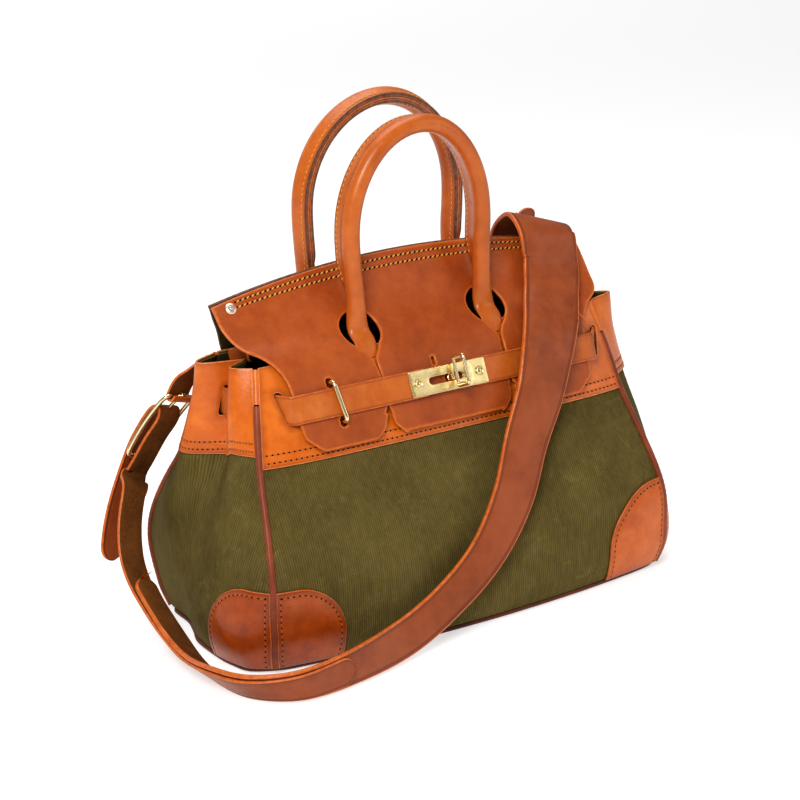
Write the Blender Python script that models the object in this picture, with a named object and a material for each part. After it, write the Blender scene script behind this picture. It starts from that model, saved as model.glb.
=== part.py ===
"""Satchel bag: canvas body, leather bands and flap, belt with turn-lock, two handles, shoulder strap.

Metres, +Z up.  The origin is the centre of the base, on the surface that the bag stands on.
+X is the bag's right and -Y its front.  Sheets of leather and canvas are laid out flat in two
coordinates and bent on to the bag's curved faces, each layer a small gap above the one below.
"""
import math

import bmesh
import bpy
from mathutils import Matrix, Vector
from mathutils.geometry import delaunay_2d_cdt

# Driving dimensions -------------------------------------------------------------------------
GAP = 0.0003                 # clearance between touching pieces
CANVAS = 0.0016              # thickness of the body cloth with its lining
BAND_LEATHER = 0.0018
FLAP_LEATHER = 0.0022
BELT_LEATHER = 0.0026
STRAP_LEATHER = 0.0038
BILLET_LEATHER = 0.0024
PLATE = 0.0012               # thickness of the belt plates
SEAM = 0.003                 # how far a panel stops short of a corner
LAYER = 0.0005               # clearance between the cloth and the leather sewn on it
WALL_FOOT = 0.0048           # where the walls begin, above the piping round the base
FACE_CELL = (0.025, 0.015)   # grid that the front and back walls' layers share
SIDE_CELL = (0.0125, 0.015)  # grid that the side walls' layers share
PIPING_R = 0.0021

BAND_BOTTOM = 0.150
BODY_TOP = 0.2205
BELT_WIDTH = 0.022
BELT_Z = 0.190
SLOT_X = 0.154               # the belt's slots in the front and back bands
SLOT_SLANT = 0.25
PATCH = 0.067                # height of a corner patch
FRONT_PATCH = 0.058          # its width on the front wall
SIDE_PATCH = 0.061           # its width on the side wall
PATCH_FOOT = 0.0056
RIDGE_Y = 0.010
RIDGE_Z = 0.2835
FLAP_LENGTH = 0.149
KEYHOLE_X = 0.0605
KEYHOLE_T = 0.058
KEYHOLE_R = 0.019
STAPLE_X = 0.1035
STAPLE_HALF = 0.0155
WIRE_R = 0.0017
STAPLE_DEPTH = 0.0128        # how far the staple's legs reach in from the flap
LOCK_X = 0.002
HANDLE_R = 0.0072
HANDLE_HINGE_Z = 0.238
FRONT_HANDLE_Y = -0.0176
BACK_HANDLE_Y = 0.0375
FLAP_RIVET_X = 0.1605
FLAP_RIVET_T = 0.011
STRAP_HINGE_Y = 0.0385
STRAP_HINGE_Z = 0.207

COLOURS = {                  # name: colour, roughness, metallic
    "canvas": ((0.115, 0.100, 0.038, 1), 0.85, 0.0),
    "lining": ((0.16, 0.13, 0.09, 1), 0.9, 0.0),
    "tan": ((0.58, 0.17, 0.025, 1), 0.35, 0.0),
    "brown": ((0.33, 0.085, 0.022, 1), 0.4, 0.0),
    "strap": ((0.26, 0.075, 0.032, 1), 0.45, 0.0),
    "piping": ((0.12, 0.025, 0.015, 1), 0.5, 0.0),
    "brass": ((0.76, 0.62, 0.32, 1), 0.3, 1.0),
    "copper": ((0.80, 0.55, 0.45, 1), 0.3, 1.0),
    "board": ((0.25, 0.17, 0.10, 1), 0.8, 0.0),
    "rope": ((0.45, 0.36, 0.22, 1), 0.9, 0.0),
}


# Curves and surfaces ------------------------------------------------------------------------
def smooth(*knots):
    """A smooth function through (x, value) knots that doesn't overshoot; straight outside them."""
    xs = [k[0] for k in knots]
    ys = [k[1] for k in knots]
    steps = [(ys[i + 1] - ys[i]) / (xs[i + 1] - xs[i]) for i in range(len(xs) - 1)]
    slopes = [steps[0]]
    for before, after in zip(steps, steps[1:]):
        slopes.append(2 * before * after / (before + after) if before * after > 0 else 0.0)
    slopes.append(steps[-1])

    def value(x):
        if x <= xs[0]:
            return ys[0] + slopes[0] * (x - xs[0])
        if x >= xs[-1]:
            return ys[-1] + slopes[-1] * (x - xs[-1])
        i = max(k for k in range(len(xs) - 1) if xs[k] <= x)
        h = xs[i + 1] - xs[i]
        t = (x - xs[i]) / h
        return ((1 + 2 * t) * (1 - t) ** 2 * ys[i] + t * (1 - t) ** 2 * h * slopes[i]
                + t * t * (3 - 2 * t) * ys[i + 1] + t * t * (t - 1) * h * slopes[i + 1])
    return value


half_width = smooth((0, 0.184), (0.02, 0.189), (0.05, 0.190), (0.08, 0.1875), (0.11, 0.182),
                    (0.15, 0.174), (0.19, 0.1665), (0.22, 0.160))
half_depth = smooth((0, 0.083), (0.012, 0.0885), (0.03, 0.092), (0.06, 0.092), (0.08, 0.0875),
                    (0.10, 0.079), (0.15, 0.0534), (0.19, 0.0395), (0.22, 0.0285))
back_tuck = smooth((0, 0.016), (0.01, 0.0145), (0.03, 0.009), (0.05, 0.001), (0.07, -0.003),
                   (0.09, -0.004), (0.11, -0.0035), (0.13, -0.001), (0.15, 0), (0.22, 0))
face_bulge = smooth((0, 0.016), (0.03, 0.0125), (0.06, 0.009), (0.10, 0.008), (0.15, 0.007),
                    (0.19, 0.0065), (0.205, 0.0045), (0.22, 0.0))
face_power = smooth((0, 2.0), (0.03, 3.0), (0.08, 6.0), (0.10, 6.0), (0.22, 6.0))
foot_bulge = smooth((-1, 0), (-0.82, 0.0180), (-0.5, 0.0240), (0, 0.0145), (0.5, 0.006), (1, 0))
foot_share = smooth((0, 1.0), (0.03, 0.85), (0.06, 0.45), (0.10, 0.1), (0.15, 0), (0.22, 0))
side_bulge = smooth((0, 0), (0.05, 0.006), (0.10, 0.009), (0.15, 0.002), (0.18, 0.0), (0.22, 0.0))
lobe_height = smooth((0.04, 0.0), (0.07, 0.001), (0.10, 0.006), (0.15, 0.018), (0.19, 0.024),
                     (0.22, 0.027))
groove_depth = smooth((0.05, 0.0), (0.10, 0.001), (0.15, 0.004), (0.22, 0.005))
SIDE_HALF = 0.10             # the side panels' own half width, laid out flat

flap_y = smooth((0, 0.008), (0.050, -0.0150), (0.075, -0.0342), (0.099, -0.0472),
                (0.127, -0.0580), (0.149, -0.0655))
flap_z = smooth((0, 0.2835), (0.050, 0.2410), (0.075, 0.2226), (0.099, 0.2035), (0.127, 0.178),
                (0.149, 0.158))
yoke_y = smooth((0, 0.0108), (0.03, 0.0205), (0.062, 0.0315), (0.078, 0.0375))
yoke_z = smooth((0, 0.2825), (0.03, 0.255), (0.062, 0.224), (0.078, 0.210))


def ridge_drop(x):
    """How far the curved ridge lies below its middle at x."""
    return 0.020 * (x / 0.176) ** 2


def wall_depth(side, z):
    """Distance of the front (side -1) or back (+1) corners from the middle at height z."""
    return half_depth(z) - (back_tuck(z) if side > 0 else 0.0)


def body_face(side):
    """The front (side -1) or back (+1) face of the body at (x, z)."""
    def point(x, z):
        bulge = face_bulge(z) * max(0.0, 1 - (abs(x) / half_width(z)) ** face_power(z))
        return Vector((x, side * (wall_depth(side, z) + bulge), z))
    return point


def body_side(side):
    """The left (-1) or right (+1) side of the body at (u, z): two lobes with a groove between."""
    def point(u, z):
        s = u / SIDE_HALF
        lobes = lobe_height(z) * math.sin(math.pi * s) ** 2
        groove = groove_depth(z) * max(0.0, math.cos(math.pi * s / 2)) ** 8
        foot = foot_bulge(max(-1.0, min(1.0, s))) * foot_share(z)
        out = half_width(z) + side_bulge(z) * (1 - s * s) + foot + lobes - groove
        return Vector((side * out, s * wall_depth(s, z), z))
    return point


def flap_face(x, t):
    """The flap at (x, t), t the distance down from the ridge."""
    drop = ridge_drop(x) * max(0.0, 1 - t / 0.067) ** 1.5
    return Vector((x, flap_y(t), flap_z(t) - drop))


def yoke_face(x, t):
    """The back yoke at (x, t), t the distance down from the ridge."""
    drop = ridge_drop(x) * max(0.0, 1 - t / 0.060) ** 1.5
    return Vector((x, yoke_y(t), yoke_z(t) - drop))


def base_face(x, y):
    return Vector((x, y, 0.0))


def normal_at(surface, u, v, outward):
    """Unit normal of a surface, on the side of the rough direction outward."""
    step = 0.0005
    du = surface(u + step, v) - surface(u - step, v)
    dv = surface(u, v + step) - surface(u, v - step)
    n = du.cross(dv).normalized()
    return n if n.dot(outward) > 0 else -n


# Building pieces ----------------------------------------------------------------------------
def clear_scene():
    for obj in list(bpy.data.objects):
        bpy.data.objects.remove(obj, do_unlink=True)


def material(name):
    mat = bpy.data.materials.get("bag_" + name)
    if mat is None:
        colour, roughness, metallic = COLOURS[name]
        mat = bpy.data.materials.new("bag_" + name)
        mat.use_nodes = True
        shader = mat.node_tree.nodes["Principled BSDF"]
        shader.inputs["Base Color"].default_value = colour
        shader.inputs["Roughness"].default_value = roughness
        shader.inputs["Metallic"].default_value = metallic
        mat.diffuse_color = colour
    return mat


def piece(name, mesh_bm, mat, origin=None, parent=None, angle=40):
    """Turn a bmesh in world coordinates into a named object whose origin is at origin."""
    bmesh.ops.recalc_face_normals(mesh_bm, faces=mesh_bm.faces)
    mesh = bpy.data.meshes.new(name)
    if origin is not None:
        bmesh.ops.translate(mesh_bm, verts=mesh_bm.verts, vec=-Vector(origin))
    mesh_bm.to_mesh(mesh)
    mesh_bm.free()
    mesh.shade_smooth()
    mesh.set_sharp_from_angle(angle=math.radians(angle))
    obj = bpy.data.objects.new(name, mesh)
    bpy.context.scene.collection.objects.link(obj)
    obj.data.materials.append(material(mat))
    if origin is not None:
        obj.location = Vector(origin)
    if parent is not None:
        obj.parent = parent
        obj.location -= world_place(parent)
    return obj


def world_place(obj):
    """Where an unrotated chain of parents puts an object."""
    place = Vector(obj.location)
    while obj.parent is not None:
        obj = obj.parent
        place += obj.location
    return place


def pivot(name, location, parent=None):
    """An empty on a joint's axis, at a place in the world."""
    empty = bpy.data.objects.new(name, None)
    empty.location = location
    bpy.context.scene.collection.objects.link(empty)
    if parent is not None:
        empty.parent = parent
        empty.location -= world_place(parent)
    return empty


def walk(points, cell, closed=True):
    """Points along straight runs between points, about a cell apart."""
    out = []
    pairs = list(zip(points, points[1:] + points[:1])) if closed else list(zip(points, points[1:]))
    for (x0, y0), (x1, y1) in pairs:
        count = max(1, round(math.hypot(x1 - x0, y1 - y0) / cell))
        out += [(x0 + (x1 - x0) * k / count, y0 + (y1 - y0) * k / count) for k in range(count)]
    if not closed:
        out.append(points[-1])
    return out


def arc(cx, cy, rx, ry, start, stop, count):
    """Points on an ellipse from angle start to angle stop, in degrees."""
    angles = [math.radians(start + (stop - start) * k / count) for k in range(count + 1)]
    return [(cx + rx * math.cos(a), cy + ry * math.sin(a)) for a in angles]


def inside(p, loop):
    hit = False
    for (x0, y0), (x1, y1) in zip(loop, loop[1:] + loop[:1]):
        if (y0 > p[1]) != (y1 > p[1]) and p[0] < x0 + (p[1] - y0) * (x1 - x0) / (y1 - y0):
            hit = not hit
    return hit


def near(p, loop, reach):
    return any((p[0] - x) ** 2 + (p[1] - y) ** 2 < reach * reach for x, y in loop)


def split_at_grid(points, cell):
    """A closed outline, with more points where it crosses the lines of the grid."""
    out = []
    for (x0, y0), (x1, y1) in zip(points, points[1:] + points[:1]):
        out.append((x0, y0))
        cuts = []
        for a, b, size in ((x0, x1, cell[0]), (y0, y1, cell[1])):
            if abs(b - a) > 1e-9:
                low, high = sorted((a, b))
                lines = range(math.ceil(low / size), math.floor(high / size) + 1)
                cuts += [(k * size - a) / (b - a) for k in lines]
        margin = 0.3 * min(cell) / max(1e-9, math.hypot(x1 - x0, y1 - y0))
        last = 0.0
        for t in sorted(cuts):
            if t - last > margin and 1 - t > margin:
                out.append((x0 + (x1 - x0) * t, y0 + (y1 - y0) * t))
                last = t
    return out


def flat_mesh(outline, holes, cell):
    """Triangles that fill an outline with holes, on a grid that all layers share.

    The grid is sheared a little while it is joined up, so that every layer's diagonals agree.
    """
    loops = [split_at_grid(outline, cell)] + [split_at_grid(hole, cell) for hole in holes]
    us = [p[0] for p in loops[0]]
    vs = [p[1] for p in loops[0]]
    grid = []
    for i in range(math.ceil(min(us) / cell[0]), math.floor(max(us) / cell[0]) + 1):
        for j in range(math.ceil(min(vs) / cell[1]), math.floor(max(vs) / cell[1]) + 1):
            p = (i * cell[0], j * cell[1])
            blocked = any(inside(p, hole) for hole in loops[1:])
            crowded = any(near(p, loop, 0.35 * min(cell)) for loop in loops)
            if inside(p, loops[0]) and not blocked and not crowded:
                grid.append(p)
    points = [p for loop in loops for p in loop] + grid
    edges = []
    start = 0
    for loop in loops:
        edges += [(start + k, start + (k + 1) % len(loop)) for k in range(len(loop))]
        start += len(loop)
    shear = 0.1 * cell[0] / cell[1]
    flat = [Vector((u + shear * v, v)) for u, v in points]
    found = delaunay_2d_cdt(flat, edges, [], 1, 1e-7)
    verts = [(v[0] - shear * v[1], v[1]) for v in found[0]]
    faces = []
    for face in found[2]:
        middle = tuple(sum(verts[k][axis] for k in face) / 3 for axis in (0, 1))
        if not any(inside(middle, hole) for hole in loops[1:]):
            faces.append(tuple(face))
    return verts, faces


def sheet(name, surface, outline, holes, inner, outer, outward, cell, mat, **options):
    """A piece of leather or cloth bent on to a surface, from offset inner to offset outer."""
    points, faces = flat_mesh(outline, holes, cell)
    bm = bmesh.new()
    layers = []
    for offset in (outer, inner):
        layers.append([bm.verts.new(surface(u, v) + normal_at(surface, u, v, outward) * offset)
                       for u, v in points])
    used = {}
    for face in faces:
        bm.faces.new([layers[0][k] for k in face])
        bm.faces.new([layers[1][k] for k in reversed(face)])
        for a, b in zip(face, face[1:] + face[:1]):
            used[(a, b)] = used.get((a, b), 0) + 1
    for a, b in used:
        if (b, a) not in used:
            bm.faces.new([layers[0][b], layers[0][a], layers[1][a], layers[1][b]])
    return piece(name, bm, mat, **options)


def curve_points(points, spacing):
    """A smooth curve through hand-placed points, sampled about every spacing."""
    points = [Vector(p) for p in points]
    ends = [points[0] * 2 - points[1]] + points + [points[-1] * 2 - points[-2]]
    out = []
    for i in range(1, len(ends) - 2):
        p0, p1, p2, p3 = ends[i - 1:i + 3]
        count = max(1, round((p2 - p1).length / spacing))
        for k in range(count):
            t = k / count
            out.append(0.5 * (2 * p1 + (p2 - p0) * t + (2 * p0 - 5 * p1 + 4 * p2 - p3) * t * t
                              + (3 * p1 - p0 - 3 * p2 + p3) * t ** 3))
    out.append(points[-1])
    return out


def swept(sections, closed=False):
    """A closed body through rings of points; each ring has the same number of points."""
    bm = bmesh.new()
    rings = [[bm.verts.new(p) for p in section] for section in sections]
    size = len(rings[0])
    pairs = list(zip(rings, rings[1:] + rings[:1])) if closed else list(zip(rings, rings[1:]))
    for first, second in pairs:
        for k in range(size):
            bm.faces.new([first[k], first[(k + 1) % size], second[(k + 1) % size], second[k]])
    if not closed:
        bm.faces.new(list(reversed(rings[0])))
        bm.faces.new(rings[-1])
    return bm


def tube(path, radius, sides=8, closed=False, hint=(0, 0, 1)):
    """A round rod along a path; radius is a number or one number for each point."""
    path = [Vector(p) for p in path]
    count = len(path)
    radii = radius if isinstance(radius, list) else [radius] * count
    sections = []
    side = None
    for i, p in enumerate(path):
        ahead = path[(i + 1) % count] if closed else path[min(i + 1, count - 1)]
        behind = path[i - 1] if closed else path[max(i - 1, 0)]
        along = (ahead - behind).normalized()
        if side is None:
            side = along.cross(Vector(hint)).normalized()
        side = (side - along * side.dot(along)).normalized()
        up = along.cross(side)
        turn = [2 * math.pi * k / sides for k in range(sides)]
        sections.append([p + (side * math.cos(a) + up * math.sin(a)) * radii[i] for a in turn])
    return swept(sections, closed)


def ribbon(stations):
    """A flat strap.  Each station is (centre, across, normal, width, thickness)."""
    sections = []
    for centre, across, face, width, thickness in stations:
        a = across * (width / 2)
        n = face * (thickness / 2)
        sections.append([centre - a - n, centre + a - n, centre + a + n, centre - a + n])
    return swept(sections)


def disc(centre, axis, radius, start, stop, sides=12):
    """A cylinder about an axis from distance start to distance stop along it."""
    axis = Vector(axis).normalized()
    centre = Vector(centre)
    side = axis.orthogonal().normalized()
    up = axis.cross(side)
    rings = []
    for reach in (start, stop):
        angles = [2 * math.pi * k / sides for k in range(sides)]
        rings.append([centre + axis * reach + (side * math.cos(a) + up * math.sin(a)) * radius
                      for a in angles])
    return swept(rings)


def turned(centre, axis, profile, sides=12):
    """A round piece from a profile of (radius, distance along axis); it closes on itself."""
    axis = Vector(axis).normalized()
    centre = Vector(centre)
    side = axis.orthogonal().normalized()
    up = axis.cross(side)
    rings = []
    for k in range(sides):
        a = 2 * math.pi * k / sides
        out = side * math.cos(a) + up * math.sin(a)
        rings.append([centre + out * radius + axis * along for radius, along in profile])
    return swept(rings, closed=True)


# Body ---------------------------------------------------------------------------------------
FRONT = Vector((0, -1, 0))
BACK = Vector((0, 1, 0))
SIDES = (("left", -1), ("right", 1))
FACES = (("front", -1), ("back", 1))


def slot_hole(x, z, half_w, half_h, count=3, slant=0.0):
    """A slot with round ends, upright or leaning sideways by slant for each unit of height."""
    top = arc(x, z + half_h - half_w, half_w, half_w, 0, 180, count * 2)
    bottom = arc(x, z - half_h + half_w, half_w, half_w, 180, 360, count * 2)
    return [(px + slant * (pz - z), pz) for px, pz in top + bottom]


def ring_hole(x, z, radius, count=10):
    return arc(x, z, radius, radius, 0, 360 - 360 / count, count - 1)


def flap_frame(x, t):
    """Point, outward normal and downward direction on the flap's outer face."""
    point = flap_face(x, t)
    out = normal_at(flap_face, x, t, FRONT)
    down = (flap_face(x, t + 0.001) - flap_face(x, t - 0.001)).normalized()
    return point, out, down


BELT_T = 0.1135              # the belt's middle, measured down the flap
_, BELT_OUT, BELT_DOWN = flap_frame(0, BELT_T)


def wall_crossing(x, t, side=-1):
    """Where a pin square to the belt goes through the front wall: its z on the body."""
    start, out, _ = flap_frame(x, t)
    low, high = 0.0, 0.03
    face = body_face(side)
    for _ in range(30):
        mid = (low + high) / 2
        p = start - BELT_OUT * mid
        if p.y < face(x, p.z).y:
            low = mid
        else:
            high = mid
    return (start - BELT_OUT * low).z


def levels(bottom, top):
    """Heights from bottom to top, on the rows of the walls' grid between them."""
    row = FACE_CELL[1]
    rows = [k * row for k in range(20) if bottom + 0.3 * row < k * row < top - 0.3 * row]
    return [bottom] + rows + [top]


def face_outline(bottom, top):
    """Outline of a front or back panel between two heights, short of the corners."""
    right = [(half_width(z) - SEAM, z) for z in levels(bottom, top)]
    return right + [(-x, z) for x, z in reversed(right)]


def side_outline(bottom, top):
    right = [(SIDE_HALF * (1 - SEAM / half_depth(z)), z) for z in levels(bottom, top)]
    return right + [(-u, z) for u, z in reversed(right)]


def wall_holes(sign):
    holes = [slot_hole(x * SLOT_X, BELT_Z, 0.0062, 0.0140, 3, x * SLOT_SLANT) for x in (-1, 1)]
    if sign < 0:
        for x in (-STAPLE_X, STAPLE_X):
            for t in (BELT_T - STAPLE_HALF, BELT_T + STAPLE_HALF):
                holes.append(ring_hole(x, wall_crossing(x, t), WIRE_R + 0.0006, 8))
        holes.append(ring_hole(LOCK_X, wall_crossing(LOCK_X, BELT_T), 0.0040))
    return holes


def belt_windows():
    """The slits in the side's groove that the belt passes through."""
    slits = []
    for sign in (-1, 1):
        low, high = sorted((sign * 0.004, sign * 0.023))
        slits.append([(low, 0.1755), (high, 0.1755), (high, 0.2015), (low, 0.2015)])
    return slits


def base_outline(inset):
    """The outline of the foot of the walls, moved in by inset."""
    wide = half_width(WALL_FOOT)
    right = []
    for sign in (-1, 1):
        face = body_face(sign)
        run = [face(x * wide, WALL_FOOT) for x in (0, 0.3, 0.6, 0.92)]
        corner = Vector((wide - 0.003, sign * (wall_depth(sign, WALL_FOOT) - 0.003), 0))
        run += [corner] + [body_side(1)(sign * u, WALL_FOOT) for u in (0.085, 0.05)]
        right += run if sign < 0 else [body_side(1)(0, WALL_FOOT)] + run[::-1]
    loop = [(p.x, p.y) for p in right] + [(-p.x, p.y) for p in right[-2:0:-1]]
    deep = half_depth(WALL_FOOT)
    return [(x * (1 - inset / wide), y * (1 - inset / deep)) for x, y in loop]


def build_body():
    for name, sign in FACES:
        outline = face_outline(WALL_FOOT, BODY_TOP)
        sheet(name + "_panel", body_face(sign), outline, wall_holes(sign), -CANVAS, 0.0,
              Vector((0, sign, 0)), FACE_CELL, "canvas")
    for name, sign in SIDES:
        sheet(name + "_gusset", body_side(sign), side_outline(WALL_FOOT, BODY_TOP),
              belt_windows(), -CANVAS, 0.0, Vector((sign, 0, 0)), SIDE_CELL, "canvas")
    up = Vector((0, 0, 1))
    sheet("base_panel", base_face, base_outline(0.0027), [], 0.0, 0.0022, up, (0.05, 0.05), "brown")
    sheet("base_board", base_face, base_outline(0.0060), [], 0.0026, 0.0048, up, (0.05, 0.05),
          "board")


def rounded_rectangle(half_x, half_y, radius, count=4):
    out = []
    for cx, cy, start in ((1, 1, 0), (-1, 1, 90), (-1, -1, 180), (1, -1, 270)):
        out += arc(cx * (half_x - radius), cy * (half_y - radius), radius, radius,
                   start, start + 90, count)
    return out


# Leather bands, patches and piping ----------------------------------------------------------
def build_bands():
    for name, sign in FACES:
        outline = face_outline(BAND_BOTTOM, BODY_TOP + 0.0007)
        sheet(name + "_band", body_face(sign), outline, wall_holes(sign), LAYER,
              LAYER + BAND_LEATHER, Vector((0, sign, 0)), FACE_CELL, "tan")
    for name, sign in SIDES:
        outline = side_outline(BAND_BOTTOM - 0.002, BODY_TOP + 0.0007)
        sheet(name + "_side_band", body_side(sign), outline, belt_windows(), LAYER,
              LAYER + BAND_LEATHER, Vector((sign, 0, 0)), SIDE_CELL, "tan")


def patch_outline(corner, inner, sign):
    """A corner patch: its seam edge, its rounded inner corner and its foot."""
    radius = 0.040
    round_end = arc(inner + radius, PATCH - radius, radius, radius, 90, 180, 6)
    edge = [(corner(z), z) for z in levels(PATCH_FOOT, PATCH)]
    return [(sign * u, z) for u, z in edge + round_end + [(inner, PATCH_FOOT)]]


def build_patches():
    """Each front corner has a leather patch sewn on the front wall and one on the side wall."""
    for name, sign in SIDES:
        outline = patch_outline(lambda z: half_width(z) - SEAM, half_width(0.03) - FRONT_PATCH, sign)
        sheet(f"{name}_front_patch", body_face(-1), outline, [], LAYER, LAYER + BAND_LEATHER,
              FRONT, FACE_CELL, "tan")
        outline = patch_outline(lambda z: SIDE_HALF * (1 - SEAM / half_depth(z)),
                                SIDE_HALF - SIDE_PATCH, -1)
        sheet(f"{name}_side_patch", body_side(sign), outline, [], LAYER, LAYER + BAND_LEATHER,
              Vector((sign, 0, 0)), SIDE_CELL, "tan")


def build_piping():
    for face, face_sign in FACES:
        for side, side_sign in SIDES:
            path = []
            for z in levels(0.0060, BODY_TOP - 0.002):
                path.append((side_sign * (half_width(z) + 0.0008),
                             face_sign * (wall_depth(face_sign, z) + 0.0008), z))
            piece(f"{face}_{side}_piping", tube(path, PIPING_R, 6, hint=(0, 1, 0)), "piping")
    path = [(x, y, PIPING_R + 0.0002) for x, y in base_outline(0)]
    piece("base_piping", tube(path, PIPING_R, 6, closed=True), "piping")


# Flap, yoke and rivets ----------------------------------------------------------------------
def flap_outline():
    """Half of the flap runs down from the ridge, round its tab and back up to the keyhole's slit."""
    slit = 0.0590
    half_slit = 0.0008
    down = [(0.1750, 0.0), (0.1745, 0.030), (0.1705, 0.046), (0.1640, 0.060), (0.1540, 0.069),
            (0.1450, 0.080), (0.1408, 0.092), (0.1400, 0.115), (0.1370, 0.137), (0.1235, 0.149)]
    tab = [(0.0730, 0.149), (0.0650, 0.142), (slit + half_slit, 0.131)]
    keyhole = arc(KEYHOLE_X, KEYHOLE_T, KEYHOLE_R, KEYHOLE_R, 92, 450 - 2 - 8, 14)
    middle = [(slit - half_slit, 0.131), (0.0560, 0.140), (0.0470, 0.149)]
    right = down + tab
    hole = [p for p in keyhole if p[1] < KEYHOLE_T + KEYHOLE_R - 0.0005]
    hole.sort(key=lambda p: -math.atan2(p[0] - KEYHOLE_X, -(p[1] - KEYHOLE_T)))
    right += [(slit + half_slit, KEYHOLE_T + KEYHOLE_R)] + hole
    right += [(slit - half_slit, KEYHOLE_T + KEYHOLE_R)] + middle
    return right + [(-x, t) for x, t in reversed(right)]


def build_flap():
    hinge = (0, RIDGE_Y, RIDGE_Z)
    holes = [ring_hole(LOCK_X, BELT_T, 0.0040)]
    for x in (-STAPLE_X, STAPLE_X):
        for t in (BELT_T - STAPLE_HALF, BELT_T + STAPLE_HALF):
            holes.append(slot_hole(x, t, 0.0026, 0.0040, 2))
    for x in (-FLAP_RIVET_X, FLAP_RIVET_X):
        holes.append(ring_hole(x, FLAP_RIVET_T, 0.0028, 8))
    sheet("flap", flap_face, flap_outline(), holes, -FLAP_LEATHER, 0.0, FRONT, (0.0210, 0.0150), "brown",
          origin=hinge)
    edge = [(0.1750, 0.0), (0.1740, 0.025), (0.168, 0.045), (0.158, 0.062), (0.150, 0.076)]
    outline = edge + [(-x, t) for x, t in reversed(edge)]
    holes = []
    for x in (-1, 1):
        point, out, _ = flap_frame(x * FLAP_RIVET_X, FLAP_RIVET_T)
        holes.append(yoke_hole(point, out))
    sheet("back_yoke", yoke_face, outline, holes, GAP, GAP + FLAP_LEATHER, BACK, (0.035, 0.020),
          "brown")


def yoke_hole(point, out):
    """A hole in the yoke where a rivet from the flap comes through it."""
    best = min(((x, t) for x in (point.x,) for t in [k * 0.0005 for k in range(60)]),
               key=lambda p: (yoke_face(*p) - point).cross(out).length)
    return slot_hole(best[0], best[1], 0.0030, 0.0060, 2)


def build_rivets():
    for name, sign in SIDES:
        point, out, _ = flap_frame(sign * FLAP_RIVET_X, FLAP_RIVET_T)
        profile = [(0.0001, GAP + 0.0016), (0.0030, GAP + 0.0013), (0.0047, GAP), (0.0016, GAP),
                   (0.0016, -FLAP_LEATHER - 0.0060), (0.0001, -FLAP_LEATHER - 0.0060)]
        piece(name + "_ridge_rivet", turned(point, out, profile), "copper")


# Belt, staples and lock ---------------------------------------------------------------------
def belt_stations(side, start_x, lift):
    """The belt arm from its plate, along the front, in at the slot, past the groove to the back."""
    point, out, down = flap_frame(0, BELT_T)
    stations = []
    base = GAP + BELT_LEATHER / 2
    for x, extra in ((start_x, lift), (0.045, lift), (0.080, 0.0), (0.110, 0.0), (0.1412, 0.0)):
        centre = Vector((side * x, point.y, point.z)) + out * (base + extra)
        stations.append((centre, out, down))
    plan = [(0.1460, -0.0520), (0.1510, -0.0460), (0.1560, -0.0398), (0.1620, -0.0320),
            (0.1665, -0.0225), (0.1686, -0.0110), (0.1690, 0.0)]
    upright = Vector((0, 0, -1))
    for i, (x, y) in enumerate(plan):
        before = plan[max(i - 1, 0)]
        after = plan[min(i + 1, len(plan) - 1)]
        along = Vector((side * (after[0] - before[0]), after[1] - before[1], 0)).normalized()
        blend = min(1.0, (i + 1) / 3)
        width_dir = (down * (1 - blend) + upright * blend).normalized()
        face = along.cross(width_dir).normalized()
        face = face if face.dot(Vector((side, -1, 0))) > 0 else -face
        stations.append((Vector((side * x, y, BELT_Z)), face, width_dir))
    back = [(Vector((c.x, -c.y, c.z)), Vector((n.x, -n.y, n.z)), Vector((w.x, -w.y, w.z)))
            for c, n, w in reversed(stations[4:-1])]
    end = Vector((side * 0.085, back[-1][0].y, back[-1][0].z))
    return stations + back + [(end, back[-1][1], back[-1][2])]


def build_belt():
    for (name, side), start, lift in zip(SIDES, (0.0236, 0.024), (0.0016, 0.0)):
        stations = [(c, w, n, BELT_WIDTH, BELT_LEATHER)
                    for c, n, w in belt_stations(side, start, lift)]
        piece(name + "_belt_arm", ribbon(stations), "tan")


def plate_face(x, t):
    """A flat face square to the belt, at distance t down from the belt's middle."""
    point, _, _ = flap_frame(0, BELT_T)
    return Vector((x, point.y, point.z)) + BELT_DOWN * t


def build_plates():
    half = 0.0102
    slot = [(x, t) for x, t in arc(0.0085, 0, 0.0030, 0.0030, -90, 90, 6)
            + arc(-0.0185, 0, 0.0030, 0.0030, 90, 270, 6)]
    low = GAP + BELT_LEATHER + GAP
    under = [(-0.0230, -half), (0.0345, -half), (0.0345, half), (-0.0230, half)]
    over = [(-0.0390, -half), (0.0170, -half), (0.0210, -half + 0.004), (0.0210, half - 0.004),
            (0.0170, half), (-0.0390, half)]
    sheet("right_belt_plate", plate_face, under, [slot, ring_hole(0.0275, 0, 0.0014, 8)],
          low, low + PLATE, FRONT, (0.02, 0.02), "brass")
    low += PLATE + GAP
    sheet("left_belt_plate", plate_face, over, [slot, ring_hole(-0.0320, 0, 0.0014, 8)],
          low, low + PLATE, FRONT, (0.02, 0.02), "brass")
    for (name, _), x in zip(SIDES, (-0.0320, 0.0275)):
        top = GAP + BELT_LEATHER + GAP + PLATE + GAP
        if name == "left":
            top += PLATE + GAP
        profile = [(0.0001, top + 0.0010), (0.0024, top + 0.0006), (0.0026, top), (0.0011, top),
                   (0.0011, top - PLATE - GAP + 0.0001), (0.0001, top - PLATE - GAP + 0.0001)]
        piece(name + "_plate_screw", turned(plate_face(x, 0), BELT_OUT, profile, 10), "brass")


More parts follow.
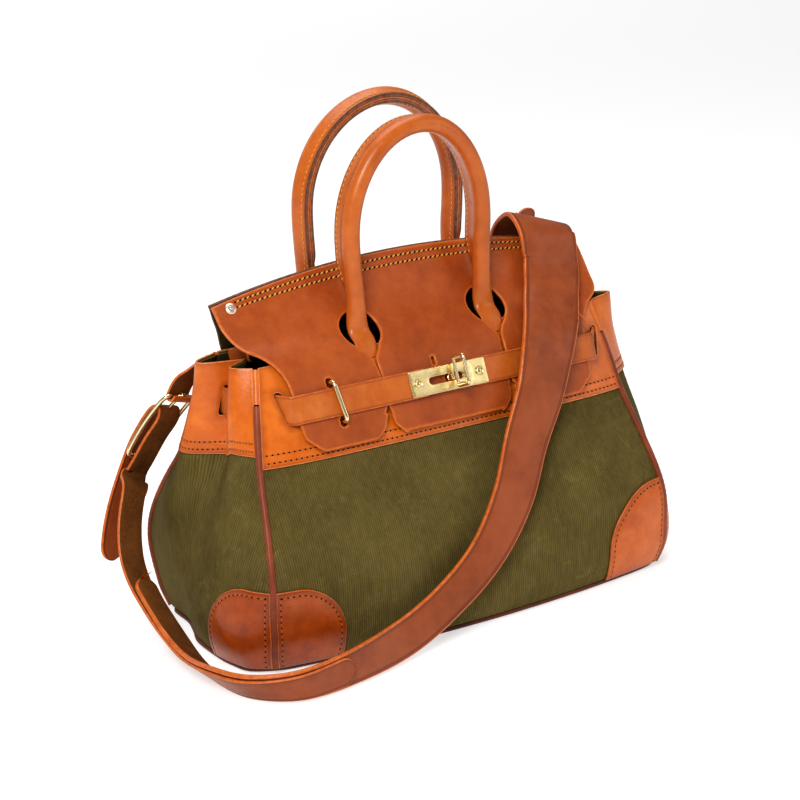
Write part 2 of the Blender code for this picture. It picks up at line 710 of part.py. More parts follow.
def build_staples():
    for name, sign in SIDES:
        x = sign * STAPLE_X
        point, out, down = flap_frame(x, BELT_T)
        reach = GAP + BELT_LEATHER + GAP + WIRE_R + 0.0006
        corner = 0.0030
        half = STAPLE_HALF
        route = [(-half, -STAPLE_DEPTH), (-half, reach - corner)]
        route += [(-half + corner - corner * math.cos(math.radians(a)),
                   reach - corner + corner * math.sin(math.radians(a))) for a in (30, 60, 90)]
        route += [(-t, n) for t, n in reversed(route)]
        path = [point + down * t + out * n for t, n in route]
        piece(name + "_staple", tube(path, WIRE_R, 8, hint=(1, 0, 0)), "brass")
        holes = [ring_hole(0, t, WIRE_R + GAP, 8) for t in (-half, half)]
        outline = rounded_rectangle(0.0050, half + 0.0050, 0.0040, 2)

        def washer_face(across, along):
            return point + Vector((across, 0, 0)) + down * along - out * STAPLE_DEPTH

        sheet(name + "_staple_washer", washer_face, outline, holes, 0.0008, 0.0018, FRONT,
              (0.02, 0.02), "brass")


def build_lock():
    point, out, down = flap_frame(LOCK_X, BELT_T)
    top = 0.0075
    profile = [(0.0022, -0.0112), (0.0100, -0.0112), (0.0100, -0.0100), (0.0034, -0.0100),
               (0.0034, 0.0020), (0.0029, 0.0024), (0.0029, top), (0.0022, top)]
    piece("lock_post", turned(point, out, profile, 16), "brass")
    turn = pivot("toggle_axis", point)
    half = 0.0112
    bar = 0.0015
    corner = 0.0018
    low = top + GAP + bar
    high = low + 0.0090
    route = []
    for t, n, start in ((half, high, 0), (-half, high, 90), (-half, low, 180), (half, low, 270)):
        ct = t - math.copysign(corner, t)
        cn = n - corner if n == high else n + corner
        route += arc(ct, cn, corner, corner, start, start + 90, 2)
    ring = tube([point + down * t + out * n for t, n in route], bar, 8, closed=True, hint=(1, 0, 0))
    toggle = piece("lock_toggle", ring, "brass", origin=point, parent=turn)
    stem = piece("toggle_stem", disc(point, out, 0.0018, -0.0090, low + 0.0003, 12), "brass",
                 origin=point, parent=turn)
    stem.hide_render = True
    stem.display_type = "WIRE"
    join = toggle.modifiers.new("stem", "BOOLEAN")
    join.operation = "UNION"
    join.object = stem


# Handles ------------------------------------------------------------------------------------
def handle_path(y, leg_x, height, lean):
    """Centre line of a handle, from its left foot over the top to its right foot."""
    half = [(leg_x, y, HANDLE_HINGE_Z), (leg_x + 0.004, y + lean * 0.3, HANDLE_HINGE_Z + 0.030),
            (leg_x + 0.0045, y + lean * 0.6, HANDLE_HINGE_Z + 0.066),
            (leg_x - 0.004, y + lean * 0.8, HANDLE_HINGE_Z + 0.102),
            (leg_x - 0.024, y + lean, height - 0.021)]
    left = [(-x, py, z) for x, py, z in half]
    return left + [(0, y + lean, height)] + list(reversed(half))


def hollow_tube(path, outer, inner, sides):
    """A tube open at both ends."""
    path = [Vector(p) for p in path]
    sections = []
    count = len(path)
    for i, p in enumerate(path):
        along = (path[min(i + 1, count - 1)] - path[max(i - 1, 0)]).normalized()
        side = along.cross(Vector((0, 1, 0))).normalized()
        up = along.cross(side)
        turn = [2 * math.pi * k / sides for k in range(sides)]
        sections.append([[p + (side * math.cos(a) + up * math.sin(a)) * r for a in turn]
                         for r in (outer, inner)])
    bm = bmesh.new()
    rings = [[[bm.verts.new(q) for q in ring] for ring in pair] for pair in sections]
    for (out_a, in_a), (out_b, in_b) in zip(rings, rings[1:]):
        for k in range(sides):
            j = (k + 1) % sides
            bm.faces.new([out_a[k], out_a[j], out_b[j], out_b[k]])
            bm.faces.new([in_a[j], in_a[k], in_b[k], in_b[j]])
    for out_ring, in_ring in (rings[0], rings[-1]):
        for k in range(sides):
            j = (k + 1) % sides
            bm.faces.new([out_ring[k], in_ring[k], in_ring[j], out_ring[j]])
    return bm


flange_depth = smooth((0.225, 0.0003), (0.252, 0.0004), (0.262, 0.0015), (0.275, 0.0050),
                      (0.286, 0.0085), (0.300, 0.0085))


def build_handles():
    specs = (("front", FRONT_HANDLE_Y, 0.0605, 0.3865, -0.002, -1),
             ("back", BACK_HANDLE_Y, 0.0700, 0.4000, -0.002, 1))
    for name, y, leg_x, height, lean, sign in specs:
        hinge = pivot(name + "_handle_axis", (0, y, HANDLE_HINGE_Z))
        path = curve_points(handle_path(y, leg_x, height, lean), 0.020)
        cover = hollow_tube(path, HANDLE_R, HANDLE_R - 0.0016, 8)
        flange = []
        for i, p in enumerate(path):
            along = (path[min(i + 1, len(path) - 1)] - path[max(i - 1, 0)]).normalized()
            across = along.cross(Vector((0, 1, 0))).normalized()
            start = Vector((0, -sign * (HANDLE_R + GAP), 0))
            stop = start + Vector((0, -sign * flange_depth(p.z), 0))
            flange.append([p + across * 0.0022 + start, p - across * 0.0022 + start,
                           p - across * 0.0022 + stop, p + across * 0.0022 + stop])
        options = {"origin": Vector((0, y, HANDLE_HINGE_Z)), "parent": hinge}
        piece(name + "_handle", cover, "tan", **options)
        piece(name + "_handle_flange", swept(flange), "tan", **options)
        piece(name + "_handle_rope", tube(path, HANDLE_R - 0.0022, 6, hint=(0, 1, 0)), "rope",
              **options)
        build_feet(name, sign, y, leg_x)


def build_feet(name, sign, y, leg_x):
    """The sewn tabs that the legs of a handle stand on, outside the band or the back yoke."""
    for side_name, side in SIDES:
        x = side * leg_x
        if sign < 0:
            lift = LAYER + BAND_LEATHER + GAP + 0.0007
            face = body_face(sign)
            points = [face(x, z) + normal_at(face, x, z, FRONT) * lift for z in (0.2145, 0.2205)]
        else:
            points = []
            for t in (0.0730, 0.0640):
                out = normal_at(yoke_face, x, t, BACK)
                points.append(yoke_face(x, t) + out * (GAP + FLAP_LEATHER + GAP + 0.0006))
        top = Vector((x, y + sign * 0.003, HANDLE_HINGE_Z - 0.0072))
        points += [(points[1] + top) / 2 + Vector((0, sign * 0.001, 0.0005)), top]
        stations = []
        for i, p in enumerate(points):
            along = (points[min(i + 1, 3)] - points[max(i - 1, 0)]).normalized()
            across = Vector((1, 0, 0))
            width = (0.005, 0.012, 0.015, 0.014)[i]
            thick = (0.0012, 0.0012, 0.0018, 0.0022)[i]
            stations.append((p, across, along.cross(across).normalized(), width, thick))
        piece(f"{name}_{side_name}_handle_foot", ribbon(stations), "tan")


# Shoulder strap -----------------------------------------------------------------------------
STRAP_EDGES = [               # upper and lower edge of the strap, from its right end to its left
    ((0.1160, 0.0405, 0.2600), (0.1610, 0.0400, 0.2520)),
    ((0.1110, 0.0360, 0.2756), (0.1650, 0.0320, 0.2640)),
    ((0.1095, 0.0240, 0.2885), (0.1665, 0.0190, 0.2735)),
    ((0.1085, 0.0110, 0.2935), (0.1665, 0.0060, 0.2755)),
    ((0.1070, -0.0050, 0.2825), (0.1612, -0.0080, 0.2695)),
    ((0.1070, -0.0120, 0.2620), (0.1615, -0.0125, 0.2500)),
    ((0.0980, -0.0250, 0.2395), (0.1450, -0.0330, 0.2335)),
    ((0.0800, -0.0480, 0.2225), (0.1280, -0.0530, 0.2150)),
    ((0.0645, -0.0640, 0.2040), (0.1105, -0.0685, 0.1885)),
    ((0.0535, -0.0730, 0.1795), (0.0955, -0.0760, 0.1595)),
    ((0.0325, -0.0840, 0.1410), (0.0725, -0.0860, 0.1335)),
    ((0.0083, -0.1000, 0.1049), (0.0450, -0.1020, 0.0934)),
    ((-0.0220, -0.1120, 0.0740), (0.0060, -0.1160, 0.0560)),
    ((-0.0560, -0.1180, 0.0520), (-0.0400, -0.1230, 0.0260)),
    ((-0.1000, -0.1240, 0.0340), (-0.0850, -0.1270, 0.0070)),
    ((-0.1560, -0.1410, 0.0300), (-0.1500, -0.1400, 0.0020)),
    ((-0.2030, -0.1440, 0.0270), (-0.1940, -0.1380, 0.0010)),
    ((-0.2350, -0.1230, 0.0240), (-0.2200, -0.1150, 0.0010)),
    ((-0.2460, -0.0850, 0.0220), (-0.2260, -0.0820, 0.0020)),
    ((-0.2450, -0.0500, 0.0190), (-0.2240, -0.0470, 0.0050)),
    ((-0.2440, -0.0200, 0.0260), (-0.2220, -0.0170, 0.0150)),
    ((-0.2450, 0.0060, 0.0420), (-0.2250, 0.0080, 0.0340)),
    ((-0.2460, 0.0250, 0.0580), (-0.2260, 0.0260, 0.0500)),
]
STRAP_HINGE = Vector((0, STRAP_HINGE_Y, STRAP_HINGE_Z))
BUCKLE_HALF = 0.031          # half the length of a buckle frame
BUCKLE_WIDE = 0.0155
BUCKLE_R = 0.0019
BILLET_WIDTH = 0.0235
PRONG_R = 0.0014


def catmull(p0, p1, p2, p3, t):
    return 0.5 * (2 * p1 + (p2 - p0) * t + (2 * p0 - 5 * p1 + 4 * p2 - p3) * t * t
                  + (3 * p1 - p0 - 3 * p2 + p3) * t ** 3)


def paired_curves(pairs, spacing):
    """Two smooth curves through pairs of points, sampled at the same places."""
    first = [Vector(a) for a, _ in pairs]
    second = [Vector(b) for _, b in pairs]
    rows = []
    for knots in (first, second):
        ends = [knots[0] * 2 - knots[1]] + knots + [knots[-1] * 2 - knots[-2]]
        row = []
        for i in range(len(knots) - 1):
            count = max(1, round((first[i + 1] - first[i]).length / spacing))
            row += [catmull(*ends[i:i + 4], k / count) for k in range(count)]
        rows.append(row + [knots[-1]])
    return list(zip(*rows))


def strap_stations(spacing=0.016):
    """Centre, across, outer face and width of the shoulder strap along its length."""
    pairs = paired_curves(STRAP_EDGES, spacing)
    last = len(pairs) - 1
    stations = []
    for i, (a, b) in enumerate(pairs):
        along = sum(pairs[min(i + 1, last)], Vector()) - sum(pairs[max(i - 1, 0)], Vector())
        along.normalize()
        face = (b - a).cross(along).normalized()
        across = along.cross(face).normalized()
        width = (b - a).length
        centre = (a + b) / 2
        reach = (abs(across.z) * width + abs(face.z) * STRAP_LEATHER) / 2
        centre.z = max(centre.z, reach + GAP)
        stations.append((centre, across, face, width, STRAP_LEATHER))
    return stations


def strip_stations(points, acrosses, width, thickness):
    """Stations of a narrow strip along points, with the direction across it at each point."""
    last = len(points) - 1
    stations = []
    for i, (p, across) in enumerate(zip(points, acrosses)):
        along = (points[min(i + 1, last)] - points[max(i - 1, 0)]).normalized()
        face = across.cross(along).normalized()
        stations.append((p, along.cross(face).normalized(), face, width, thickness))
    return stations


class BuckleSide:
    """Where a buckle sits: its middle, the way to its far bar, across it, and its outer side."""

    def __init__(self, name, centre, along, across, outward, anchor):
        self.name = name
        self.centre = Vector(centre)
        self.along = Vector(along).normalized()
        across = Vector(across)
        self.across = (across - self.along * across.dot(self.along)).normalized()
        out = self.along.cross(self.across)
        self.out = out if out.dot(Vector(outward)) > 0 else -out
        self.anchor = [Vector(p) for p in anchor]

    def at(self, w, l, n):
        return self.centre + self.across * w + self.along * l + self.out * n


BUCKLES = (
    BuckleSide("left", (-0.1920, 0.0640, 0.1590), (-0.37, 0.435, -0.82), (0.925, 0.257, -0.278),
               (0, 1, 0), [(-0.1560, 0.0400, 0.2100), (-0.1685, 0.0450, 0.2015)]),
    BuckleSide("right", (0.1575, 0.0600, 0.2345), (0.0, 0.06, 0.998), (1, 0, 0),
               (0, 1, 0), [(0.1570, 0.0545, 0.1690), (0.1572, 0.0565, 0.1790)]),
)


def arch(l):
    """A buckle frame stands a little proud in the middle of its length."""
    return 0.003 * (1 - (l / BUCKLE_HALF) ** 2)


def billet_route(side):
    """The narrow strap: in under the far bar, back out through the frame, and its free end."""
    if side.name == "right":
        inward = [(0.0060, -0.0060), (-0.0010, -0.0034)]
    else:
        inward = [(0.046, -0.0062), (0.031, -0.0044), (0.010, -0.0022)]
    local = [*inward, (-0.0060, -0.0022),
             (-0.0135, 0.0000), (-0.0160, 0.0040), (-0.0135, 0.0080), (-0.006, 0.0102),
             (0.010, 0.0098), (0.030, 0.0066)]
    points = [side.at(0, l, n) for l, n in local]
    acrosses = [side.across] * len(local)
    stations = strap_stations()
    if side.name == "left":
        shared = stations[-8:]
        extra = [(-0.2350, 0.0420, 0.0680), (-0.2290, 0.0530, 0.0900), (-0.2190, 0.0620, 0.1130)]
        free = [(-0.2160, 0.0890, 0.1010), (-0.2250, 0.0880, 0.0740), (-0.2310, 0.0840, 0.0500)]
    else:
        shared = list(reversed(stations[:3]))
        extra = []
        free = [(0.1690, 0.0670, 0.2730)]
    offset = STRAP_LEATHER / 2 + GAP + BILLET_LEATHER / 2
    sign = 1 if shared[0][2].dot(side.out if side.name == "right" else Vector((-1, 0, -1))) > 0 else -1
    joined = [c + n * sign * offset for c, _, n, _, _ in shared]
    flip = 1 if shared[-1][1].dot(side.across) > 0 else -1
    joined_across = [a * flip for _, a, _, _, _ in shared]
    extra = [Vector(p) for p in extra]
    mid = [(joined_across[-1] * (1 - k) + side.across * k).normalized()
           for k in [(i + 1) / (len(extra) + 1) for i in range(len(extra))]]
    free = [Vector(p) for p in free]
    return (joined + extra + points + free, joined_across + mid + acrosses + [side.across] * len(free))


def cut(solid, cutter_bm, name):
    """Take a hidden cutter out of a solid."""
    mesh = bpy.data.meshes.new(name)
    bmesh.ops.recalc_face_normals(cutter_bm, faces=cutter_bm.faces)
    cutter_bm.to_mesh(mesh)
    cutter_bm.free()
    cutter = bpy.data.objects.new(name, mesh)
    bpy.context.scene.collection.objects.link(cutter)
    cutter.hide_render = True
    cutter.display_type = "WIRE"
    modifier = solid.modifiers.new("cut", "BOOLEAN")
    modifier.operation = "DIFFERENCE"
    modifier.object = cutter


def local_box(side, low, high):
    (w0, l0, n0), (w1, l1, n1) = low, high
    near_ring = [side.at(w, l0, n) for w, n in ((w0, n0), (w1, n0), (w1, n1), (w0, n1))]
    far_ring = [side.at(w, l1, n) for w, n in ((w0, n0), (w1, n0), (w1, n1), (w0, n1))]
    return swept([near_ring, far_ring])


def build_buckle(side, swing):
    corner = 0.006
    ring = []
    for w, l, start in ((1, 1, 0), (-1, 1, 90), (-1, -1, 180), (1, -1, 270)):
        ring += arc(w * (BUCKLE_WIDE - corner), l * (BUCKLE_HALF - corner), corner, corner,
                    start, start + 90, 3)
    loop = walk(ring, 0.013)
    path = [side.at(w, l, arch(l)) for w, l in loop]
    piece(side.name + "_buckle_frame", tube(path, BUCKLE_R, 8, closed=True, hint=side.out), "brass",
          origin=STRAP_HINGE, parent=swing)

    fold = [(-0.042, 0.0052)]
    fold += [(-BUCKLE_HALF + 0.0038 * math.sin(math.radians(a)), 0.0038 * math.cos(math.radians(a)))
             for a in (0, 45, 90, 135, 180)]
    fold.append((-0.0335, -0.0036))
    points = [side.at(0, l, n) for l, n in fold]
    points = [p + side.out * 0.0015 for p in side.anchor] + points
    strip = strip_stations(points, [side.across] * len(points), BILLET_WIDTH, 0.0020)
    chape = piece(side.name + "_chape", ribbon(strip), "strap", origin=STRAP_HINGE, parent=swing)
    cut(chape, local_box(side, (-0.0042, -0.0345, -0.010), (0.0042, -0.0230, 0.010)),
        side.name + "_chape_notch")

    bar = side.at(0, -BUCKLE_HALF, 0)
    prong_axis = pivot(side.name + "_prong_axis", bar, swing)
    eye = turned(bar, side.across, [(0.0022, -0.0020), (0.0040, -0.0020), (0.0040, 0.0020),
                                    (0.0022, 0.0020)], 14)
    rod = tube([side.at(0, l, n) for l, n in ((-0.0280, 0.0010), (-0.015, 0.0036), (0.0, 0.0050),
                                              (0.018, 0.0048), (0.0325, 0.0036))],
               [PRONG_R, PRONG_R, PRONG_R, PRONG_R, 0.0009], 8, hint=side.out)
    prong = piece(side.name + "_buckle_prong", eye, "brass", origin=bar, parent=prong_axis)
    rod_piece = piece(side.name + "_prong_rod", rod, "brass", origin=bar, parent=prong_axis)
    rod_piece.hide_render = True
    rod_piece.display_type = "WIRE"
    join = prong.modifiers.new("rod", "BOOLEAN")
    join.operation = "UNION"
    join.object = rod_piece

    route, acrosses = billet_route(side)
    billet = piece(side.name + "_billet", ribbon(strip_stations(route, acrosses, BILLET_WIDTH,
                                                                BILLET_LEATHER)), "strap",
                   origin=STRAP_HINGE, parent=swing)
    cut(billet, local_box(side, (-0.0032, -0.024, 0.0010), (0.0032, 0.000, 0.0075)),
        side.name + "_billet_hole")


def build_strap():
    swing = pivot("shoulder_strap_group", STRAP_HINGE)
    piece("shoulder_strap", ribbon(strap_stations()), "strap", origin=STRAP_HINGE, parent=swing)
    for side in BUCKLES:
        build_buckle(side, swing)


clear_scene()
build_body()
build_bands()
build_patches()
build_piping()
build_flap()
build_rivets()
build_belt()
build_plates()
build_staples()
build_lock()
build_handles()
build_strap()
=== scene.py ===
import math

import bpy
import numpy as np
from mathutils import Matrix, Vector
from mathutils.geometry import delaunay_2d_cdt


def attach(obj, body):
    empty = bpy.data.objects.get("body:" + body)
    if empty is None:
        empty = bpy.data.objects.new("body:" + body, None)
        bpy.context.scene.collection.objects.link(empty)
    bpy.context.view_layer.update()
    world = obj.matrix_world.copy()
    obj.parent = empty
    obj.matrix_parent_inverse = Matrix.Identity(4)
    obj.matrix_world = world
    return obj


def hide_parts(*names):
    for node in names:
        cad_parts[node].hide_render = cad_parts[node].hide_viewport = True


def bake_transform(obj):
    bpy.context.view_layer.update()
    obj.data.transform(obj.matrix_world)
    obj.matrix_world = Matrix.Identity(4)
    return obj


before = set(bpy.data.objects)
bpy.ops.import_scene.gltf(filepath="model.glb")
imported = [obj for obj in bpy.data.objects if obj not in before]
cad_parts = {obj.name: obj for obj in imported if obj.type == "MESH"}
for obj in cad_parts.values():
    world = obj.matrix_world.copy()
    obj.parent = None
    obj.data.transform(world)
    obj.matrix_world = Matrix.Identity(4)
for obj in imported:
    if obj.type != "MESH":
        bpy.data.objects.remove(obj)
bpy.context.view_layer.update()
ROOT = "bag_body"

# Sizes shared with the solid model, in metres
GAP = 0.0003     # between pieces that lie on one another
LAYER = 0.0005     # between the canvas and the leather sewn on it
CANVAS = 0.0016
BAND = 0.0018
FLAP = 0.0022
BELT = 0.0026
BELT_WIDE = 0.022
STRAP = 0.0038
BILLET = 0.0024
BILLET_WIDE = 0.0235
FOOT = 0.0048     # the height at which the walls start
BAND_BOTTOM = 0.150
BODY_TOP = 0.2205
BELT_Z = 0.190
SLOT_X = 0.154
PATCH = 0.067
SIDE_HALF = 0.10
BELT_T = 0.1135     # the belt's middle, measured down the flap from its ridge
STAPLE_X = 0.1035
STAPLE_HALF = 0.0155
LOCK_X = 0.002
RIVET_X = 0.1605
RIVET_T = 0.011
HANDLE_R = 0.0072
HINGE_Z = 0.238

# Sizes of this model alone
NEAR_SLOT_X = 0.1452     # the left slots lie nearer the middle
STAPLE_LEAN = 0.0022
STAPLE_R = 0.0019
CORNER_GAP = 0.0014     # how far each wall stops short of the bag's upright edges
SEAM_RISES = (0.0038, 0.0095)     # the bands' two seams, above their lower edges
SUNK = 0.0002     # how far a seam's thread lies in the leather

FRONT = np.array([0.0, -1.0, 0.0])
BACK = np.array([0.0, 1.0, 0.0])
UP = np.array([0.0, 0.0, 1.0])
SIDES = (("left", -1), ("right", 1))
FACES = (("front", -1), ("back", 1))


# Surfaces -----------------------------------------------------------------------------------
def smooth(*knots):
    """A smooth function through (x, value) knots that doesn't overshoot; straight outside them."""
    xs = np.array([k[0] for k in knots], float)
    ys = np.array([k[1] for k in knots], float)
    steps = np.diff(ys) / np.diff(xs)
    slopes = [steps[0]]
    for before, after in zip(steps, steps[1:]):
        slopes.append(2 * before * after / (before + after) if before * after > 0 else 0.0)
    slopes = np.array(slopes + [steps[-1]])

    def value(x):
        x = np.asarray(x, float)
        i = np.clip(np.searchsorted(xs, x, side="right") - 1, 0, len(xs) - 2)
        h = xs[i + 1] - xs[i]
        t = (x - xs[i]) / h
        inner = ((1 + 2 * t) * (1 - t) ** 2 * ys[i] + t * (1 - t) ** 2 * h * slopes[i]
                 + t * t * (3 - 2 * t) * ys[i + 1] + t * t * (t - 1) * h * slopes[i + 1])
        low = ys[0] + slopes[0] * (x - xs[0])
        high = ys[-1] + slopes[-1] * (x - xs[-1])
        return np.where(x <= xs[0], low, np.where(x >= xs[-1], high, inner))
    return value


half_width = smooth((0, 0.184), (0.02, 0.189), (0.05, 0.190), (0.08, 0.1875), (0.11, 0.182),
                    (0.15, 0.174), (0.19, 0.1665), (0.22, 0.160))
half_depth = smooth((0, 0.083), (0.012, 0.0885), (0.03, 0.092), (0.06, 0.092), (0.08, 0.0875),
                    (0.10, 0.079), (0.15, 0.0534), (0.19, 0.0395), (0.22, 0.0285))
back_tuck = smooth((0, 0.016), (0.01, 0.0145), (0.03, 0.009), (0.05, 0.001), (0.07, -0.003),
                   (0.09, -0.004), (0.11, -0.0035), (0.13, -0.001), (0.15, 0), (0.22, 0))
face_bulge = smooth((0, 0.016), (0.03, 0.0125), (0.06, 0.009), (0.10, 0.008), (0.15, 0.007),
                    (0.19, 0.0065), (0.205, 0.0045), (0.22, 0.0))
face_power = smooth((0, 2.0), (0.03, 3.0), (0.08, 6.0), (0.10, 6.0), (0.22, 6.0))
foot_bulge = smooth((-1, 0), (-0.82, 0.0180), (-0.5, 0.0240), (0, 0.0145), (0.5, 0.006), (1, 0))
foot_share = smooth((0, 1.0), (0.03, 0.85), (0.06, 0.45), (0.10, 0.1), (0.15, 0), (0.22, 0))
side_bulge = smooth((0, 0), (0.05, 0.006), (0.10, 0.009), (0.15, 0.002), (0.18, 0.0), (0.22, 0.0))
lobe_height = smooth((0.03, 0.0), (0.06, 0.003), (0.10, 0.0095), (0.15, 0.018), (0.19, 0.0190),
                     (0.22, 0.0245))
near_share = smooth((0.04, 1.0), (0.10, 0.6), (0.15, 0.46), (0.19, 0.60), (0.22, 0.50))
groove_depth = smooth((0.04, 0.0), (0.10, 0.004), (0.15, 0.007), (0.19, 0.009), (0.22, 0.009))
flap_y = smooth((0, 0.008), (0.050, -0.0150), (0.075, -0.0342), (0.099, -0.0472),
                (0.127, -0.0580), (0.149, -0.0655))
flap_z = smooth((0, 0.2835), (0.050, 0.2410), (0.075, 0.2226), (0.099, 0.2035), (0.127, 0.178),
                (0.149, 0.158))
yoke_y = smooth((0, 0.0108), (0.03, 0.0205), (0.062, 0.0315), (0.078, 0.0375))
yoke_z = smooth((0, 0.2825), (0.03, 0.255), (0.062, 0.224), (0.078, 0.210))


def ripple(a, b, seed, longest=0.16, count=7):
    """A soft random waviness between about -1 and 1."""
    rng = np.random.default_rng(seed)
    total = 0.0
    for k in range(count):
        angle = rng.uniform(0, math.pi)
        wave = 2 * math.pi / (longest * 0.72 ** k)
        phase = rng.uniform(0, 2 * math.pi)
        total = total + 0.8 ** k * np.sin(wave * (a * math.cos(angle) + b * math.sin(angle)) + phase)
    return total / 3.2


def stacked(*parts):
    return np.stack(np.broadcast_arrays(*parts), -1)


def ridge_drop(x):
    return 0.020 * (x / 0.176) ** 2


def wall_depth(side, z):
    return half_depth(z) - np.where(np.asarray(side) > 0, back_tuck(z), 0.0)


def body_face(side):
    """The front (-1) or back (+1) face of the bag at (x, z), with the cloth's slack in it."""
    def point(x, z):
        x = np.asarray(x, float)
        z = np.asarray(z, float)
        inner = np.maximum(0, 1 - (np.abs(x) / half_width(z)) ** face_power(z))
        slack = 0.0011 * ripple(x, 0.8 * z, 3 + side, 0.19, 6) * np.clip((0.150 - z) / 0.03, 0, 1)
        slack = slack * np.clip(z / 0.02, 0, 1) * np.minimum(1, inner * 2)
        y = side * (wall_depth(side, z) + face_bulge(z) * inner + slack)
        return stacked(x, y, z)
    return point


def body_side(side):
    """The left (-1) or right (+1) side of the bag at (u, z): two lobes with a groove between."""
    def point(u, z):
        z = np.asarray(z, float)
        s = np.asarray(u, float) / SIDE_HALF
        share = np.where(s < 0, near_share(z) if side < 0 else 1.3, 1.0)
        lobes = lobe_height(z) * share * np.abs(np.sin(math.pi * s)) ** 1.5
        groove = groove_depth(z) * np.maximum(0.0, np.cos(math.pi * s / 2)) ** 8
        foot = foot_bulge(np.clip(s, -1, 1)) * foot_share(z)
        slack = 0.0012 * ripple(0.10 * s, 0.6 * z, 11 + side, 0.11, 6)
        slack = slack * np.clip((0.150 - z) / 0.03, 0, 1) * np.clip(z / 0.02, 0, 1) * (1 - s ** 4)
        belly = side_bulge(z) * (1.0 if side < 0 else 1.7) * (1 - s * s)
        out = half_width(z) + belly + foot + lobes - groove + slack
        return stacked(side * out, s * wall_depth(s, z), z)
    return point


def flap_face(x, t):
    drop = ridge_drop(x) * np.maximum(0.0, 1 - t / 0.067) ** 1.5
    return stacked(x, flap_y(t), flap_z(t) - drop)


def yoke_face(x, t):
    drop = ridge_drop(x) * np.maximum(0.0, 1 - t / 0.060) ** 1.5
    return stacked(x, yoke_y(t), yoke_z(t) - drop)


def unit(a):
    return a / np.maximum(np.linalg.norm(a, axis=-1, keepdims=True), 1e-12)


def normals(surface, u, v, outward):
    step = 0.0005
    du = surface(u + step, v) - surface(u - step, v)
    dv = surface(u, v + step) - surface(u, v - step)
    n = unit(np.cross(du, dv))
    return np.where((n @ outward)[..., None] < 0, -n, n)


def flap_frame(x, t):
    x = np.float64(x)
    t = np.float64(t)
    point = flap_face(x, t)
    out = normals(flap_face, x, t, FRONT)
    down = unit(flap_face(x, t + 0.001) - flap_face(x, t - 0.001))
    return point, out, down


# Materials ----------------------------------------------------------------------------------
class Nodes:
    """A small helper that writes a node tree."""

    def __init__(self, name):
        self.mat = bpy.data.materials.new(name)
        self.mat.use_nodes = True
        self.tree = self.mat.node_tree
        self.shader = self.tree.nodes["Principled BSDF"]
        self.place = self.add("ShaderNodeTexCoord").outputs["Object"]

    def add(self, kind, **settings):
        node = self.tree.nodes.new(kind)
        for key, value in settings.items():
            setattr(node, key, value)
        return node

    def wire(self, node, **inputs):
        for key, value in inputs.items():
            socket = node.inputs[int(key[1:])] if key[0] == "i" and key[1:].isdigit() else node.inputs[key]
            if isinstance(value, bpy.types.NodeSocket):
                self.tree.links.new(value, socket)
            else:
                socket.default_value = value
        return node

    def noise(self, scale, detail=3.0, rough=0.55, place=None, distortion=0.0):
        node = self.wire(self.add("ShaderNodeTexNoise"), Vector=place or self.place, Scale=scale,
                         Detail=detail, Roughness=rough, Distortion=distortion)
        return node.outputs["Fac"]

    def stretch(self, sx, sy, sz):
        node = self.add("ShaderNodeMapping")
        self.wire(node, Vector=self.place, Scale=(sx, sy, sz))
        return node.outputs[0]

    def ramp(self, fac, *stops):
        node = self.add("ShaderNodeValToRGB")
        self.wire(node, Fac=fac)
        ramp = node.color_ramp
        while len(ramp.elements) < len(stops):
            ramp.elements.new(0.5)
        for element, (place, colour) in zip(ramp.elements, stops):
            element.position = place
            element.color = (*colour, 1)
        return node.outputs["Color"]

    def scale(self, fac, a, b, c, d):
        node = self.wire(self.add("ShaderNodeMapRange"), Value=fac, i1=a, i2=b, i3=c, i4=d)
        return node.outputs[0]

    def math(self, operation, a, b=0.0):
        return self.wire(self.add("ShaderNodeMath", operation=operation), i0=a, i1=b).outputs[0]

    def mix(self, fac, a, b):
        node = self.add("ShaderNodeMix", data_type="RGBA", blend_type="MIX")
        node.clamp_factor = True
        self.wire(node, i0=fac, i6=a, i7=b)
        return node.outputs[2]

    def attribute(self, name):
        return self.add("ShaderNodeAttribute", attribute_name=name).outputs["Fac"]

    def bump(self, height, strength, distance, below=None):
        node = self.add("ShaderNodeBump")
        self.wire(node, Height=height, Strength=strength, Distance=distance)
        if below is not None:
            self.wire(node, Normal=below)
        return node.outputs["Normal"]

    def finish(self, **inputs):
        names = {"colour": "Base Color", "rough": "Roughness", "metal": "Metallic",
                 "normal": "Normal", "coat": "Coat Weight", "coat_rough": "Coat Roughness",
                 "specular": "Specular IOR Level"}
        for key, value in inputs.items():
            self.wire(self.shader, **{names[key]: value})
        return self.mat


